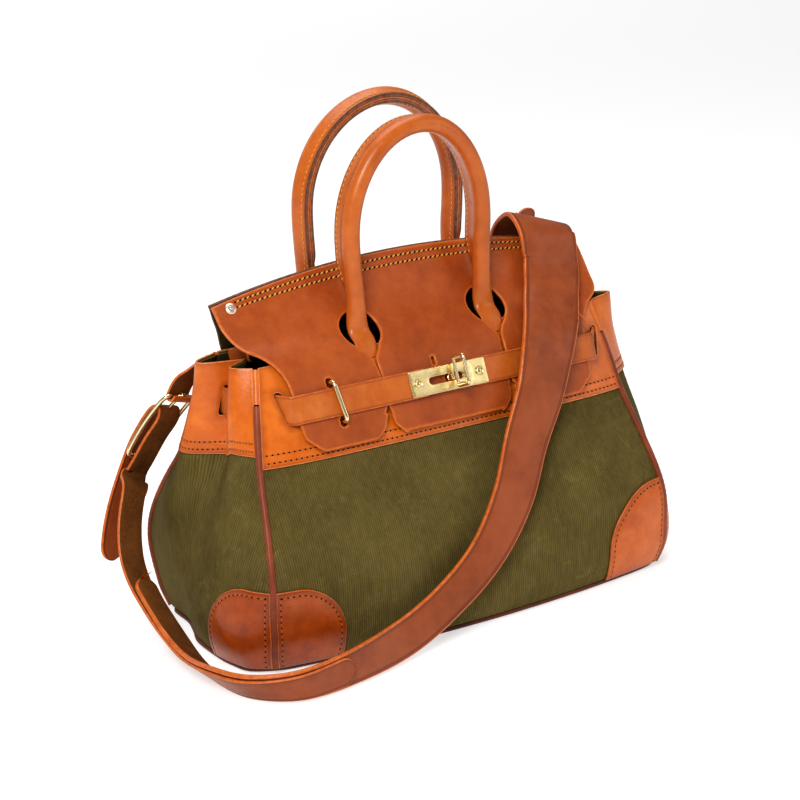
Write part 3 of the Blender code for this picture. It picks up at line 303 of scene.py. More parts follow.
def leather(name, dark, mid, light, rough=0.4, coat=0.25, grain=1.0, streak=None, edge=None,
            edge_from=0.15, edge_mix=0.55):
    """Vegetable-tanned leather: clouded colour, pores, faint drawn grain, darker at cut edges."""
    n = Nodes(name)
    cloud = n.noise(14.0, 4.0, 0.6)
    fine = n.noise(95.0, 4.0, 0.6)
    both = n.math("ADD", n.math("MULTIPLY", cloud, 0.65), n.math("MULTIPLY", fine, 0.35))
    colour = n.ramp(both, (0.33, dark), (0.5, mid), (0.67, light))
    if streak is not None:
        pull = n.noise(30.0, 3.0, 0.6, n.stretch(*streak))
        colour = n.mix(n.scale(pull, 0.45, 0.75, 0.0, 0.45), colour, (*light, 1))
        colour = n.mix(n.scale(pull, 0.50, 0.25, 0.0, 0.45), colour, (*dark, 1))
    border = n.attribute("border")
    rim = edge or tuple(0.45 * c for c in dark)
    colour = n.mix(n.scale(border, edge_from, 1.0, 0.0, edge_mix), colour, (*rim, 1))
    pores = n.wire(n.add("ShaderNodeTexVoronoi", feature="SMOOTH_F1"), Vector=n.place, Scale=900.0)
    creases = n.noise(300.0, 5.0, 0.7)
    normal = n.bump(pores.outputs["Distance"], 0.22 * grain, 0.0004)
    normal = n.bump(creases, 0.40 * grain, 0.0008, normal)
    normal = n.bump(n.noise(55.0, 3.0, 0.5), 0.35, 0.0018, normal)
    glaze = n.scale(n.noise(38.0, 3.0, 0.6), 0.3, 0.7, rough - 0.07, rough + 0.10)
    return n.finish(colour=colour, rough=glaze, normal=normal, coat=coat, coat_rough=0.28,
                    specular=0.26)


def cut_edge(name, dark, light, rough=0.5):
    """The burnished cut edge of leather."""
    n = Nodes(name)
    colour = n.ramp(n.noise(240.0, 4.0, 0.6), (0.3, dark), (0.7, light))
    normal = n.bump(n.noise(900.0, 3.0, 0.6), 0.35, 0.0003)
    return n.finish(colour=colour, rough=rough, normal=normal)


def suede(name, dark, light):
    """The rough flesh side."""
    n = Nodes(name)
    both = n.math("ADD", n.math("MULTIPLY", n.noise(60.0, 4.0), 0.5),
                  n.math("MULTIPLY", n.noise(700.0, 3.0), 0.5))
    colour = n.ramp(both, (0.35, dark), (0.65, light))
    normal = n.bump(n.noise(900.0, 4.0, 0.7), 0.5, 0.0005)
    return n.finish(colour=colour, rough=0.9, normal=normal, specular=0.08)


def canvas(name, dark, mid, light, across="X", pitch=0.0019):
    """Heavy cloth with upright ribs, crossed by fine weft threads, rubbed pale in places."""
    n = Nodes(name)
    parts = n.wire(n.add("ShaderNodeSeparateXYZ"), Vector=n.place).outputs
    wander = n.math("MULTIPLY", n.noise(20.0, 2.0), 0.0016)
    along = n.math("ADD", parts[across], wander)
    rib = n.math("SINE", n.math("MULTIPLY", along, 2 * math.pi / pitch))
    rib = n.scale(rib, -1.0, 1.0, 0.0, 1.0)
    weft = n.math("SINE", n.math("MULTIPLY", parts["Z"], 2 * math.pi / 0.00125))
    weft = n.scale(weft, -1.0, 1.0, 0.0, 1.0)
    slub = n.noise(260.0, 3.0, 0.6, n.stretch(1.0, 1.0, 0.25))
    cloud = n.noise(17.0, 4.0, 0.6)
    tone = n.math("ADD", n.math("MULTIPLY", cloud, 0.55), n.math("MULTIPLY", slub, 0.45))
    colour = n.ramp(tone, (0.34, dark), (0.5, mid), (0.68, light))
    colour = n.mix(n.scale(rib, 0.45, 0.0, 0.0, 0.52), colour, tuple(0.35 * c for c in dark) + (1,))
    colour = n.mix(n.scale(weft, 0.35, 0.0, 0.0, 0.22), colour, tuple(0.4 * c for c in dark) + (1,))
    rub = n.noise(42.0, 5.0, 0.72, n.stretch(1.0, 1.0, 1.6), 0.9)
    worn = n.math("MULTIPLY", n.scale(rub, 0.56, 0.76, 0.0, 1.0), rib)
    colour = n.mix(n.math("MULTIPLY", worn, 0.55), colour, tuple(1.9 * c for c in light) + (1,))
    weave = n.math("ADD", rib, n.math("MULTIPLY", weft, 0.45))
    weave = n.math("ADD", weave, n.math("MULTIPLY", slub, 0.5))
    normal = n.bump(weave, 0.55, 0.00045)
    normal = n.bump(n.noise(30.0, 4.0, 0.6), 0.35, 0.0022, normal)
    return n.finish(colour=colour, rough=0.88, normal=normal, specular=0.10)


def brass(name, colour, rough=0.26, brushed=True):
    """Solid brass with a brushed lacquered face, a little tarnish and fine scratches."""
    n = Nodes(name)
    tarnish = n.noise(70.0, 4.0, 0.6)
    tint = n.ramp(tarnish, (0.3, tuple(0.85 * c for c in colour)), (0.62, colour))
    lines = n.noise(900.0, 2.0, 0.5, n.stretch(0.08, 1.0, 1.0))
    grain = n.scale(lines, 0.3, 0.7, -0.05, 0.06) if brushed else 0.0
    polish = n.math("ADD", grain, n.scale(tarnish, 0.3, 0.7, rough + 0.07, rough - 0.04))
    normal = n.bump(lines if brushed else tarnish, 0.03, 0.00005)
    return n.finish(colour=tint, rough=polish, metal=1.0, normal=normal)


def thread(name, dark, light):
    n = Nodes(name)
    twist = n.noise(1500.0, 2.0)
    return n.finish(colour=n.ramp(twist, (0.3, dark), (0.7, light)), rough=0.6,
                    normal=n.bump(twist, 0.4, 0.0002))


def dull(name, dark, light, rough=0.8):
    """A plain matt surface."""
    n = Nodes(name)
    tone = n.noise(60.0, 4.0)
    return n.finish(colour=n.ramp(tone, (0.3, dark), (0.7, light)), rough=rough,
                    normal=n.bump(n.noise(480.0, 3.0), 0.3, 0.0004), specular=0.3)


TAN = leather("tan_leather", (0.48, 0.094, 0.006), (0.62, 0.138, 0.010), (0.76, 0.200, 0.022),
              rough=0.31, coat=0.38, edge=(0.30, 0.050, 0.006))
TAN_ROLL = leather("tan_handle_leather", (0.38, 0.078, 0.007), (0.49, 0.112, 0.012),
                   (0.59, 0.155, 0.022), rough=0.31, coat=0.34, streak=(1, 1, 0.12))
PATCH_TAN = leather("patch_leather", (0.24, 0.035, 0.002), (0.37, 0.065, 0.004),
                    (0.50, 0.110, 0.012), rough=0.29, coat=0.38, edge=(0.13, 0.020, 0.002))
# a lighter copy of the patch leather for the right-hand patches: painted light, standing for the stronger
# light that falls on the bag's right side
PATCH_PAINTED_LIT = leather("right_patch_leather_painted_lit", (0.40, 0.070, 0.006), (0.54, 0.112, 0.012),
                      (0.66, 0.160, 0.022), rough=0.36, coat=0.20, edge=(0.24, 0.040, 0.004))
RUSSET = leather("flap_leather", (0.27, 0.050, 0.008), (0.365, 0.074, 0.012), (0.45, 0.102, 0.019),
                 rough=0.38, coat=0.16, streak=(0.9, 1, 0.22), edge=(0.60, 0.145, 0.018), edge_from=0.62,
                 edge_mix=0.85, grain=1.5)
BELT_TAN = leather("belt_leather", (0.37, 0.078, 0.009), (0.48, 0.112, 0.014), (0.58, 0.160, 0.026),
                   rough=0.36, coat=0.20, streak=(1, 1, 0.15), edge=(0.26, 0.048, 0.006))
STRAP_MAT = leather("strap_leather", (0.215, 0.047, 0.013), (0.305, 0.071, 0.019),
                    (0.36, 0.092, 0.030), rough=0.42, coat=0.08, streak=(0.7, 0.7, 0.7),
                    edge=(0.15, 0.030, 0.009))
PIPE = leather("piping_leather", (0.15, 0.030, 0.010), (0.24, 0.052, 0.018), (0.33, 0.080, 0.028),
               rough=0.45, coat=0.15)
# a much darker copy of the piping leather for the base welt: partly the welt's own dark leather, partly
# painted shade for the contact shadow along the bag's foot
PIPE_PAINTED_SHADE = leather("base_piping_leather_painted_shade", (0.07, 0.016, 0.006), (0.11, 0.026, 0.010),
                    (0.16, 0.040, 0.016), rough=0.5, coat=0.05)
ORANGE_EDGE = cut_edge("burnished_edge", (0.42, 0.085, 0.010), (0.66, 0.165, 0.024), 0.36)
RAW_EDGE = cut_edge("laminated_edge", (0.085, 0.032, 0.014), (0.21, 0.095, 0.050), 0.6)
BAND_EDGE = cut_edge("band_edge", (0.50, 0.14, 0.03), (0.74, 0.27, 0.09), 0.5)
FLESH = suede("flesh_side", (0.100, 0.036, 0.010), (0.20, 0.075, 0.018))
DARK_FLESH = suede("dark_flesh_side", (0.060, 0.024, 0.010), (0.12, 0.050, 0.020))
OLIVE = ((0.106, 0.078, 0.022), (0.144, 0.107, 0.032), (0.188, 0.142, 0.046))
CLOTH = canvas("olive_canvas", *OLIVE, across="X")
CLOTH_SIDE = canvas("olive_canvas_side", *OLIVE, across="Y")
LINING = canvas("inner_canvas", (0.060, 0.044, 0.014), (0.085, 0.060, 0.021), (0.11, 0.08, 0.03))
BRASS = brass("satin_brass", (0.90, 0.72, 0.36), 0.30)
BRASS_WIRE = brass("polished_brass", (0.85, 0.70, 0.41), 0.22, False)
COPPER = brass("copper_rivet", (0.95, 0.74, 0.62), 0.34, False)
GOLD_THREAD = thread("golden_thread", (0.62, 0.26, 0.03), (0.86, 0.46, 0.09))
TAN_THREAD = thread("tan_thread", (0.40, 0.10, 0.015), (0.58, 0.19, 0.035))
HOLE = dull("needle_hole", (0.006, 0.003, 0.002), (0.014, 0.007, 0.004), 0.95)
BOARD = dull("base_board", (0.10, 0.065, 0.04), (0.16, 0.11, 0.07))


# Building meshes ----------------------------------------------------------------------------
def make(name, verts, faces, mats, slots=None, border=None):
    """An object from arrays of points and lists of faces, shaded smooth."""
    mesh = bpy.data.meshes.new(name)
    mesh.from_pydata(np.asarray(verts, float).tolist(), [], [list(map(int, f)) for f in faces])
    for mat in mats:
        mesh.materials.append(mat)
    if slots is not None:
        mesh.polygons.foreach_set("material_index", np.asarray(slots, np.int32))
    values = np.zeros(len(verts), np.float32) if border is None else np.asarray(border, np.float32)
    mesh.attributes.new("border", "FLOAT", "POINT").data.foreach_set("value", values)
    mesh.update()
    mesh.shade_smooth()
    obj = bpy.data.objects.new(name, mesh)
    bpy.context.scene.collection.objects.link(obj)
    return obj


def area(loop):
    x, y = np.asarray(loop, float).T
    return 0.5 * float(np.sum(x * np.roll(y, -1) - np.roll(x, -1) * y))


def dense(loop, cell, closed=True):
    """The loop with points added so that none are further apart than cell."""
    loop = [np.asarray(p, float) for p in loop]
    out = []
    count = len(loop) if closed else len(loop) - 1
    for i in range(count):
        a, b = loop[i], loop[(i + 1) % len(loop)]
        length = np.linalg.norm(b - a)
        if length < 1e-7:
            continue
        n = max(1, math.ceil(length / cell))
        out += [a + (b - a) * k / n for k in range(n)]
    if not closed:
        out.append(loop[-1])
    return np.array(out)


def rounded(points, radius, count=4):
    """The polygon with its corners rounded."""
    points = [np.asarray(p, float) for p in points]
    out = []
    for i, p in enumerate(points):
        a = points[i - 1] - p
        b = points[(i + 1) % len(points)] - p
        la, lb = np.linalg.norm(a), np.linalg.norm(b)
        r = min(radius, 0.45 * la, 0.45 * lb)
        start, end = p + a / la * r, p + b / lb * r
        for k in range(count + 1):
            t = k / count
            out.append((1 - t) ** 2 * start + 2 * t * (1 - t) * p + t * t * end)
    return out


def within(points, loop):
    """Which points lie inside a loop."""
    loop = np.asarray(loop)
    x, y = points[:, 0][:, None], points[:, 1][:, None]
    ax, ay = loop[:, 0], loop[:, 1]
    bx, by = np.roll(ax, -1), np.roll(ay, -1)
    cross = (ay > y) != (by > y)
    with np.errstate(divide="ignore", invalid="ignore"):
        hit = x < (bx - ax) * (y - ay) / (by - ay) + ax
    return np.sum(cross & hit, axis=1) % 2 == 1


def nearest(points, others):
    """Distance from each point to the nearest of the others."""
    out = np.empty(len(points))
    for i in range(0, len(points), 2000):
        block = points[i:i + 2000]
        out[i:i + 2000] = np.sqrt(((block[:, None] - others[None]) ** 2).sum(-1)).min(1)
    return out


PRESS_HALF = 0.0011
PRESS_DEPTH = 0.00035


def pattern(outline, holes, grooves, cell):
    """A sheet's flat pattern: its rim's loops, its grooves' lines and a grid of points inside."""
    loops = [dense(outline, cell)] + [dense(h, min(cell, 0.0012)) for h in holes]
    loops = [l if (area(l) > 0) == (i == 0) else l[::-1] for i, l in enumerate(loops)]
    presses = [dense(g, 0.0016, closed=False) for g in grooves]
    rim = np.concatenate(loops)
    low_u, low_v = rim.min(0)
    high_u, high_v = rim.max(0)
    rows = np.arange(low_v + cell * 0.5, high_v, cell * 0.87)
    grid = []
    for j, v in enumerate(rows):
        us = np.arange(low_u + cell * (0.25 + 0.5 * (j % 2)), high_u, cell)
        grid.append(np.column_stack([us, np.full(len(us), v)]))
    grid = np.concatenate(grid)
    grid = grid[within(grid, loops[0])]
    for hole in loops[1:]:
        grid = grid[~within(grid, hole)]
    grid = grid[nearest(grid, rim) > 0.62 * cell]
    if presses:
        grid = grid[nearest(grid, np.concatenate(presses)) > 2 * PRESS_HALF]
    lines = []
    for line in presses:
        step = unit(np.gradient(line, axis=0))
        across = np.column_stack([-step[:, 1], step[:, 0]])
        lines += [line + across * PRESS_HALF, line, line - across * PRESS_HALF]
    return loops, lines, grid


def triangulated(loops, lines, grid):
    """The pattern's points and triangles, and where each point that went in is among them."""
    points = [p for loop in loops for p in loop]
    edges = []
    start = 0
    for loop in loops:
        edges += [(start + k, start + (k + 1) % len(loop)) for k in range(len(loop))]
        start += len(loop)
    for line in lines:
        edges += [(start + k, start + k + 1) for k in range(len(line) - 1)]
        points += list(line)
        start += len(line)
    points += list(grid)
    found = delaunay_2d_cdt([Vector(p) for p in points], edges, [], 1, 1e-7)
    flat = np.array([tuple(v) for v in found[0]])
    tris = np.array([tuple(f) for f in found[2]])
    middles = flat[tris].mean(1)
    keep = np.ones(len(tris), bool)
    for hole in loops[1:]:
        keep &= ~within(middles, hole)
    where = np.full(len(points), -1)
    for new, olds in enumerate(found[3]):
        for old in olds:
            where[old] = new
    return flat, tris[keep], where


def sheet(name, surface, outline, low, high, outward, cell, mats, body=ROOT, nodes=(), holes=(),
          grooves=(), edge=0.0007, relief=None):
    """A piece of leather or cloth laid on a surface, from height low to high above it.

    outline and holes are in the surface's own (u, v). Its rim is rounded. grooves are lines of
    (u, v) points pressed into its face. mats are for the face, the rim and the back.
    """
    loops, lines, grid = pattern(outline, holes, grooves, cell)
    flat, tris, where = triangulated(loops, lines, grid)
    depth = np.zeros(len(flat))
    start = sum(len(l) for l in loops)
    for k, line in enumerate(lines):
        if k % 3 == 1:
            depth[where[start:start + len(line)]] = -PRESS_DEPTH
        start += len(line)
    if relief is not None:
        depth = depth + relief(flat[:, 0], flat[:, 1])
    shift = np.zeros_like(flat)
    ends = []
    start = 0
    for loop in loops:
        index = where[start:start + len(loop)]
        start += len(loop)
        run = unit(np.roll(loop, -1, 0) - np.roll(loop, 1, 0))
        inward = np.column_stack([-run[:, 1], run[:, 0]])
        shift[index] = inward
        ends.append((index, inward))
    radius = min(edge, 0.48 * (high - low))
    count = len(flat)
    uv = [flat + shift * radius, flat + shift * radius]
    level = [high + depth, np.full(count, low)]
    distance = nearest(flat, np.concatenate(loops))
    border = [np.exp(-distance / 0.0035), np.ones(count)]
    faces = list(tris) + [tuple(count + i for i in reversed(t)) for t in tris]
    slots = [0] * len(tris) + [2] * len(tris)
    total = 2 * count
    turn = [(1 - math.sin(math.radians(a)), 1 - math.cos(math.radians(a))) for a in (30, 60, 90)]
    for index, inward in ends:
        rings = [index]
        places = flat[index]
        for inset, drop in turn:
            uv.append(places + inward * radius * inset)
            level.append(high + depth[index] - radius * drop)
            rings.append(total + np.arange(len(index)))
            total += len(index)
        for inset, drop in reversed(turn):
            uv.append(places + inward * radius * inset)
            level.append(np.full(len(index), low + radius * drop))
            rings.append(total + np.arange(len(index)))
            total += len(index)
        rings.append(count + index)
        border.append(np.ones(6 * len(index)))
        for upper, lower in zip(rings, rings[1:]):
            for k in range(len(index)):
                j = (k + 1) % len(index)
                faces.append((upper[j], upper[k], lower[k], lower[j]))
                slots.append(1)
    uv = np.concatenate(uv)
    level = np.concatenate(level)
    base = surface(uv[:, 0], uv[:, 1])
    out = normals(surface, uv[:, 0], uv[:, 1], outward)
    verts = base + out * level[:, None]
    # the flat pattern may be mirrored on its surface, which turns every face round
    a, b, c = (verts[tris[:, k]] for k in range(3))
    if np.sum(np.cross(b - a, c - a) * out[tris[:, 0]]) < 0:
        faces = [tuple(reversed(f)) for f in faces]
    obj = make(name, verts, faces, mats, slots, np.concatenate(border))
    obj.data.set_sharp_from_angle(angle=math.radians(60))
    if body:
        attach(obj, body)
    if nodes:
        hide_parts(*nodes)
    return obj


def catmull(points, spacing):
    """A smooth curve through rows of numbers, sampled about every spacing along the first three."""
    p = np.asarray(points, float)
    ends = np.vstack([2 * p[0] - p[1], p, 2 * p[-1] - p[-2]])
    out = []
    for i in range(1, len(ends) - 2):
        p0, p1, p2, p3 = ends[i - 1:i + 3]
        n = max(1, round(float(np.linalg.norm((p2 - p1)[:3])) / spacing))
        for k in range(n):
            t = k / n
            out.append(0.5 * (2 * p1 + (p2 - p0) * t + (2 * p0 - 5 * p1 + 4 * p2 - p3) * t * t
                              + (3 * p1 - p0 - 3 * p2 + p3) * t ** 3))
    out.append(p[-1])
    return np.array(out)


def rings_mesh(name, rings, mats, slot_of=None, closed=False, border=None, cap_slot=0):
    """A closed body through rings of points. slot_of gives the material along a ring."""
    rings = np.asarray(rings, float)
    count, size = rings.shape[:2]
    verts = rings.reshape(-1, 3)
    faces, slots = [], []
    last = count if closed else count - 1
    for i in range(last):
        a, b = i * size, ((i + 1) % count) * size
        for k in range(size):
            j = (k + 1) % size
            faces.append((a + k, a + j, b + j, b + k))
            slots.append(slot_of[k] if slot_of is not None else 0)
    if not closed:
        verts = np.vstack([verts, rings[0].mean(0), rings[-1].mean(0)])
        first, final = len(verts) - 2, len(verts) - 1
        base = (count - 1) * size
        for k in range(size):
            j = (k + 1) % size
            faces += [(first, j, k), (final, base + k, base + j)]
            slots += [cap_slot, cap_slot]
    values = np.zeros(len(verts)) if border is None else np.resize(border, len(verts))
    obj = make(name, verts, faces, mats, slots, values)
    if signed_volume(obj.data) < 0:
        obj.data.flip_normals()
    obj.data.set_sharp_from_angle(angle=math.radians(50))
    return obj


def signed_volume(mesh):
    mesh.calc_loop_triangles()
    tris = np.empty(len(mesh.loop_triangles) * 3, np.int32)
    mesh.loop_triangles.foreach_get("vertices", tris)
    co = np.empty(len(mesh.vertices) * 3, np.float32)
    mesh.vertices.foreach_get("co", co)
    corner = co.reshape(-1, 3)[tris].reshape(-1, 3, 3)
    return float(np.einsum("ij,ij->i", corner[:, 0], np.cross(corner[:, 1], corner[:, 2])).sum())


def tube(name, path, radius, mats, sides=16, closed=False, flatten=1.0, hint=UP):
    """A rod along a path; flatten below 1 makes it wider than it is thick."""
    path = np.asarray(path, float)
    count = len(path)
    radii = np.broadcast_to(np.asarray(radius, float), (count,))
    rings = []
    side = None
    angles = np.linspace(0, 2 * math.pi, sides, endpoint=False)
    for i in range(count):
        ahead = path[(i + 1) % count] if closed else path[min(i + 1, count - 1)]
        behind = path[i - 1] if closed else path[max(i - 1, 0)]
        along = unit(ahead - behind)
        if side is None:
            side = unit(np.cross(along, hint))
        side = unit(side - along * (side @ along))
        up = np.cross(along, side)
        rings.append(path[i] + radii[i] * (np.outer(np.cos(angles), side)
                                           + flatten * np.outer(np.sin(angles), up)))
    return rings_mesh(name, rings, mats, closed=closed)


def lathe(name, centre, axis, profile, mats, sides=40):
    """A turned piece from (radius, distance along the axis) points; it closes on itself."""
    axis = unit(np.asarray(axis, float))
    side = unit(np.cross(axis, [1.0, 0.0, 0.0] if abs(axis[0]) < 0.8 else [0.0, 1.0, 0.0]))
    up = np.cross(axis, side)
    angles = np.linspace(0, 2 * math.pi, sides, endpoint=False)
    rings = [[centre + (side * math.cos(a) + up * math.sin(a)) * r + axis * h for r, h in profile]
             for a in angles]
    obj = rings_mesh(name, rings, mats, closed=True)
    obj.data.set_sharp_from_angle(angle=math.radians(35))
    return obj


def strap_frames(stations, spacing):
    """Stations (centre, across, width) smoothed; gives centres, across, faces and widths."""
    rows = np.array([[*c, *a, w] for c, a, w in stations])
    rows = catmull(rows, spacing)
    centres = rows[:, :3]
    along = unit(np.gradient(centres, axis=0))
    across = rows[:, 3:6]
    across = unit(across - along * np.sum(across * along, 1)[:, None])
    faces = np.cross(along, across)
    return centres, across, faces, rows[:, 6]


def ribbon(name, stations, thickness, mats, outward, spacing=0.0035, tips=(0, 0), crease=0.0,
           crown=0.0, edge=0.8, wave=None):
    """A strap with rounded edges. tips are the lengths over which its ends round off.

    mats are for the outer face, the edges and the flesh side. outward points to the outer side at
    the first station.
    """
    centres, across, faces, widths = strap_frames(stations, spacing)
    if faces[0] @ np.asarray(outward, float) < 0:
        across, faces = -across, -faces
    run = np.concatenate([[0], np.cumsum(np.linalg.norm(np.diff(centres, axis=0), axis=1))])
    for end, tip in enumerate(tips):
        if not tip:
            continue
        where = run if end == 0 else run[-1] - run
        extra = tip * (1 - np.cos(np.radians(np.linspace(4, 80, 9))))
        keep = where > tip
        place = np.sort(extra) if end == 0 else run[-1] - np.sort(extra)[::-1]
        old = run
        rows = np.column_stack([centres, across, faces, widths])
        new = np.column_stack([np.interp(place, old, rows[:, c]) for c in range(rows.shape[1])])
        share = np.sqrt(np.maximum(0.0, 1 - (1 - (place if end == 0 else run[-1] - place) / tip) ** 2))
        new[:, 9] *= np.maximum(share, 0.05)
        rows = np.vstack([new, rows[keep]]) if end == 0 else np.vstack([rows[keep], new])
        run = np.concatenate([place, run[keep]]) if end == 0 else np.concatenate([run[keep], place])
        centres, across, faces = rows[:, :3], unit(rows[:, 3:6]), unit(rows[:, 6:9])
        widths = rows[:, 9]
    half = thickness / 2
    radius = half * edge
    top = [-1, -0.93, -0.8, -0.6, -0.3, 0, 0.3, 0.6, 0.8, 0.93, 1]
    rings = []
    for i in range(len(centres)):
        a = widths[i] / 2
        flat = a - radius
        xs = [x * flat for x in top]
        ys = [half + crown * (1 - x * x) for x in top]
        if crease:
            line = flat - crease
            xs = sorted([-flat, -line - 0.0006, -line, -line + 0.0006, -flat * 0.5, 0, flat * 0.5,
                         line - 0.0006, line, line + 0.0006, flat])
            ys = [half + crown * (1 - (x / flat) ** 2) for x in xs]
            ys[2] -= 0.00022
            ys[8] -= 0.00022
        right = [(flat + radius * math.sin(t), half - radius * (1 - math.cos(t)))
                 for t in np.radians((30, 60, 90))]
        right += [(x, -y) for x, y in reversed(right)]
        under = [(x * flat, -half) for x in (1, 0.5, 0, -0.5, -1)]
        left = [(-x, y) for x, y in reversed(right)]
        section = list(zip(xs, ys)) + right + under + left
        lift = wave(run[i], np.array([p[0] for p in section]) / a) if wave else np.zeros(len(section))
        rings.append([centres[i] + across[i] * x + faces[i] * (y + l)
                      for (x, y), l in zip(section, lift)])
    size = len(rings[0])
    slot_of = [0] * 10 + [1] * 7 + [2] * 4 + [1] * 7
    slot_of = (slot_of + [1] * size)[:size]
    ring_border = np.zeros(size)
    ring_border[:2] = 1
    ring_border[9:] = 1
    return rings_mesh(name, rings, mats, slot_of, border=ring_border, cap_slot=1)


HOLE_ENDS = (0.0, 0.7, 1.0, 0.7, 0.0)


class Batch:
    """Many small closed pieces of one kind, such as the stitches of a seam, in one object."""

    def __init__(self):
        self.items = []

    def put(self, centre, a, b, n):
        self.items.append((centre, a, b, n))

    def build(self, name, mat, body, sides=6, ends=(0.0, 0.62, 0.92, 1.0, 0.92, 0.62, 0.0)):
        xs = np.linspace(-1, 1, len(ends))
        angles = np.linspace(0, 2 * math.pi, sides, endpoint=False)
        template = [(-1.0, 0.0, 0.0)]
        for x, r in zip(xs[1:-1], ends[1:-1]):
            template += [(x, r * math.cos(t), r * math.sin(t)) for t in angles]
        template.append((1.0, 0.0, 0.0))
        template = np.array(template)
        faces = []
        inner = len(ends) - 2
        for k in range(sides):
            j = (k + 1) % sides
            faces.append((0, 1 + j, 1 + k))
            for i in range(inner - 1):
                a, b = 1 + i * sides, 1 + (i + 1) * sides
                faces.append((a + k, a + j, b + j, b + k))
            last = 1 + (inner - 1) * sides
            faces.append((len(template) - 1, last + k, last + j))
        c, a, b, n = (np.array([item[i] for item in self.items]) for i in range(4))
        verts = (c[:, None] + template[None, :, :1] * a[:, None] + template[None, :, 1:2] * b[:, None]
                 + template[None, :, 2:] * n[:, None]).reshape(-1, 3)
        every = [tuple(f + m * len(template) for f in face) for m in range(len(self.items))
                 for face in faces]
        obj = make(name, verts, every, [mat])
        if signed_volume(obj.data) < 0:
            obj.data.flip_normals()
        if body:
            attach(obj, body)
        return obj


def even(line, pitch):
    """Points spaced evenly along a line of (u, v) points, with a whole number of steps."""
    line = np.asarray(line, float)
    run = np.concatenate([[0], np.cumsum(np.linalg.norm(np.diff(line, axis=0), axis=1))])
    count = max(2, round(run[-1] / pitch))
    place = np.linspace(0, run[-1], 2 * count + 1)
    return np.column_stack([np.interp(place, run, line[:, k]) for k in range(line.shape[1])])


def stitch(threads, dots, surface, outward, line, height, pitch=0.0045, length=0.0034,
           radius=0.00036, slant=10.0, hole=0.00055):
    """A row of stitches along a line on a surface, with the needle holes between them."""
    points = even(line, pitch)
    u, v = points[:, 0], points[:, 1]
    base = surface(u, v)
    out = normals(surface, u, v, outward)
    places = base + out * height
    run = unit(np.gradient(places, axis=0))
    side = np.cross(out, run)
    turn = math.radians(slant)
    for i in range(1, len(points), 2):
        way = run[i] * math.cos(turn) + side[i] * math.sin(turn)
        cross = np.cross(out[i], way)
        threads.put(places[i] + out[i] * radius * 0.35, way * length / 2, cross * radius, out[i] * radius)
    for i in range(0, len(points), 2):
        dots.put(places[i] + out[i] * 0.00005, run[i] * hole * 1.25, side[i] * hole, out[i] * 0.00015)


# Outlines shared by the walls' layers -------------------------------------------------------
def heights(bottom, top, step=0.004):
    return np.linspace(bottom, top, max(2, math.ceil((top - bottom) / step)))


def side_hem(u):
    """The side band's lower edge, drawn up where it meets the front."""
    return BAND_BOTTOM - 0.002 + 0.0105 * np.clip(-np.asarray(u, float) / 0.055, 0, 1) ** 1.3


def face_corner(z):
    return half_width(z) - CORNER_GAP


def side_corner(z):
    return SIDE_HALF * (1 - CORNER_GAP / half_depth(z))


def face_outline(bottom, top):
    right = [(float(face_corner(z)), z) for z in heights(bottom, top)]
    return right + [(-x, z) for x, z in reversed(right)]


def side_outline(bottom, top):
    right = [(float(side_corner(z)), z) for z in heights(bottom, top)]
    return right + [(-u, z) for u, z in reversed(right)]


def arc(cx, cy, rx, ry, start, stop, count):
    angles = np.radians(np.linspace(start, stop, count + 1))
    return [(cx + rx * math.cos(a), cy + ry * math.sin(a)) for a in angles]


def slot(x, z, half_w, half_h, slant=0.0):
    loop = (arc(x, z + half_h - half_w, half_w, half_w, 0, 180, 10)
            + arc(x, z - half_h + half_w, half_w, half_w, 180, 360, 10))
    return [(px + slant * (pz - z), pz) for px, pz in loop[:-1]]


def ring(x, z, radius, count=20):
    return arc(x, z, radius, radius, 0, 360 - 360 / count, count - 1)


BELT_POINT, BELT_OUT, BELT_DOWN = flap_frame(0, BELT_T)


def wall_crossing(x, t):
    """Height at which a pin square to the belt goes through the front wall."""
    start = flap_frame(x, t)[0]
    low, high = 0.0, 0.03
    for _ in range(30):
        mid = (low + high) / 2
        p = start - BELT_OUT * mid
        low, high = (mid, high) if p[1] < body_face(-1)(x, p[2])[1] else (low, mid)
    return float((start - BELT_OUT * low)[2])


def staple_legs():
    """The four places, as (x, lean in x, t) on the flap, where the staples' legs go through."""
    return [(x, way * STAPLE_LEAN, BELT_T + way * STAPLE_HALF)
            for x in (-STAPLE_X, STAPLE_X) for way in (-1, 1)]


def wall_holes(sign):
    """The belt's two slots, and in the front also holes for the staples' legs and the lock."""
    holes = [slot(x, BELT_Z, 0.0036, 0.0120, math.copysign(0.25, x)) for x in (-NEAR_SLOT_X, SLOT_X)]
    if sign < 0:
        holes += [ring(x + lean, wall_crossing(x, t), 0.0025, 12) for x, lean, t in staple_legs()]
        holes.append(ring(LOCK_X, wall_crossing(LOCK_X, BELT_T), 0.0040, 16))
    return holes


def belt_windows(side):
    """The two openings in a side that the belt passes through, one in each lobe."""
    near = (-0.0335, -0.0165) if side < 0 else (-0.0215, -0.0110)
    low_z, high_z = BELT_Z - 0.0118, BELT_Z + 0.0118
    return [rounded([(low, low_z), (high, low_z), (high, high_z), (low, high_z)], 0.003)
            for low, high in (near, (0.0115, 0.0208))]


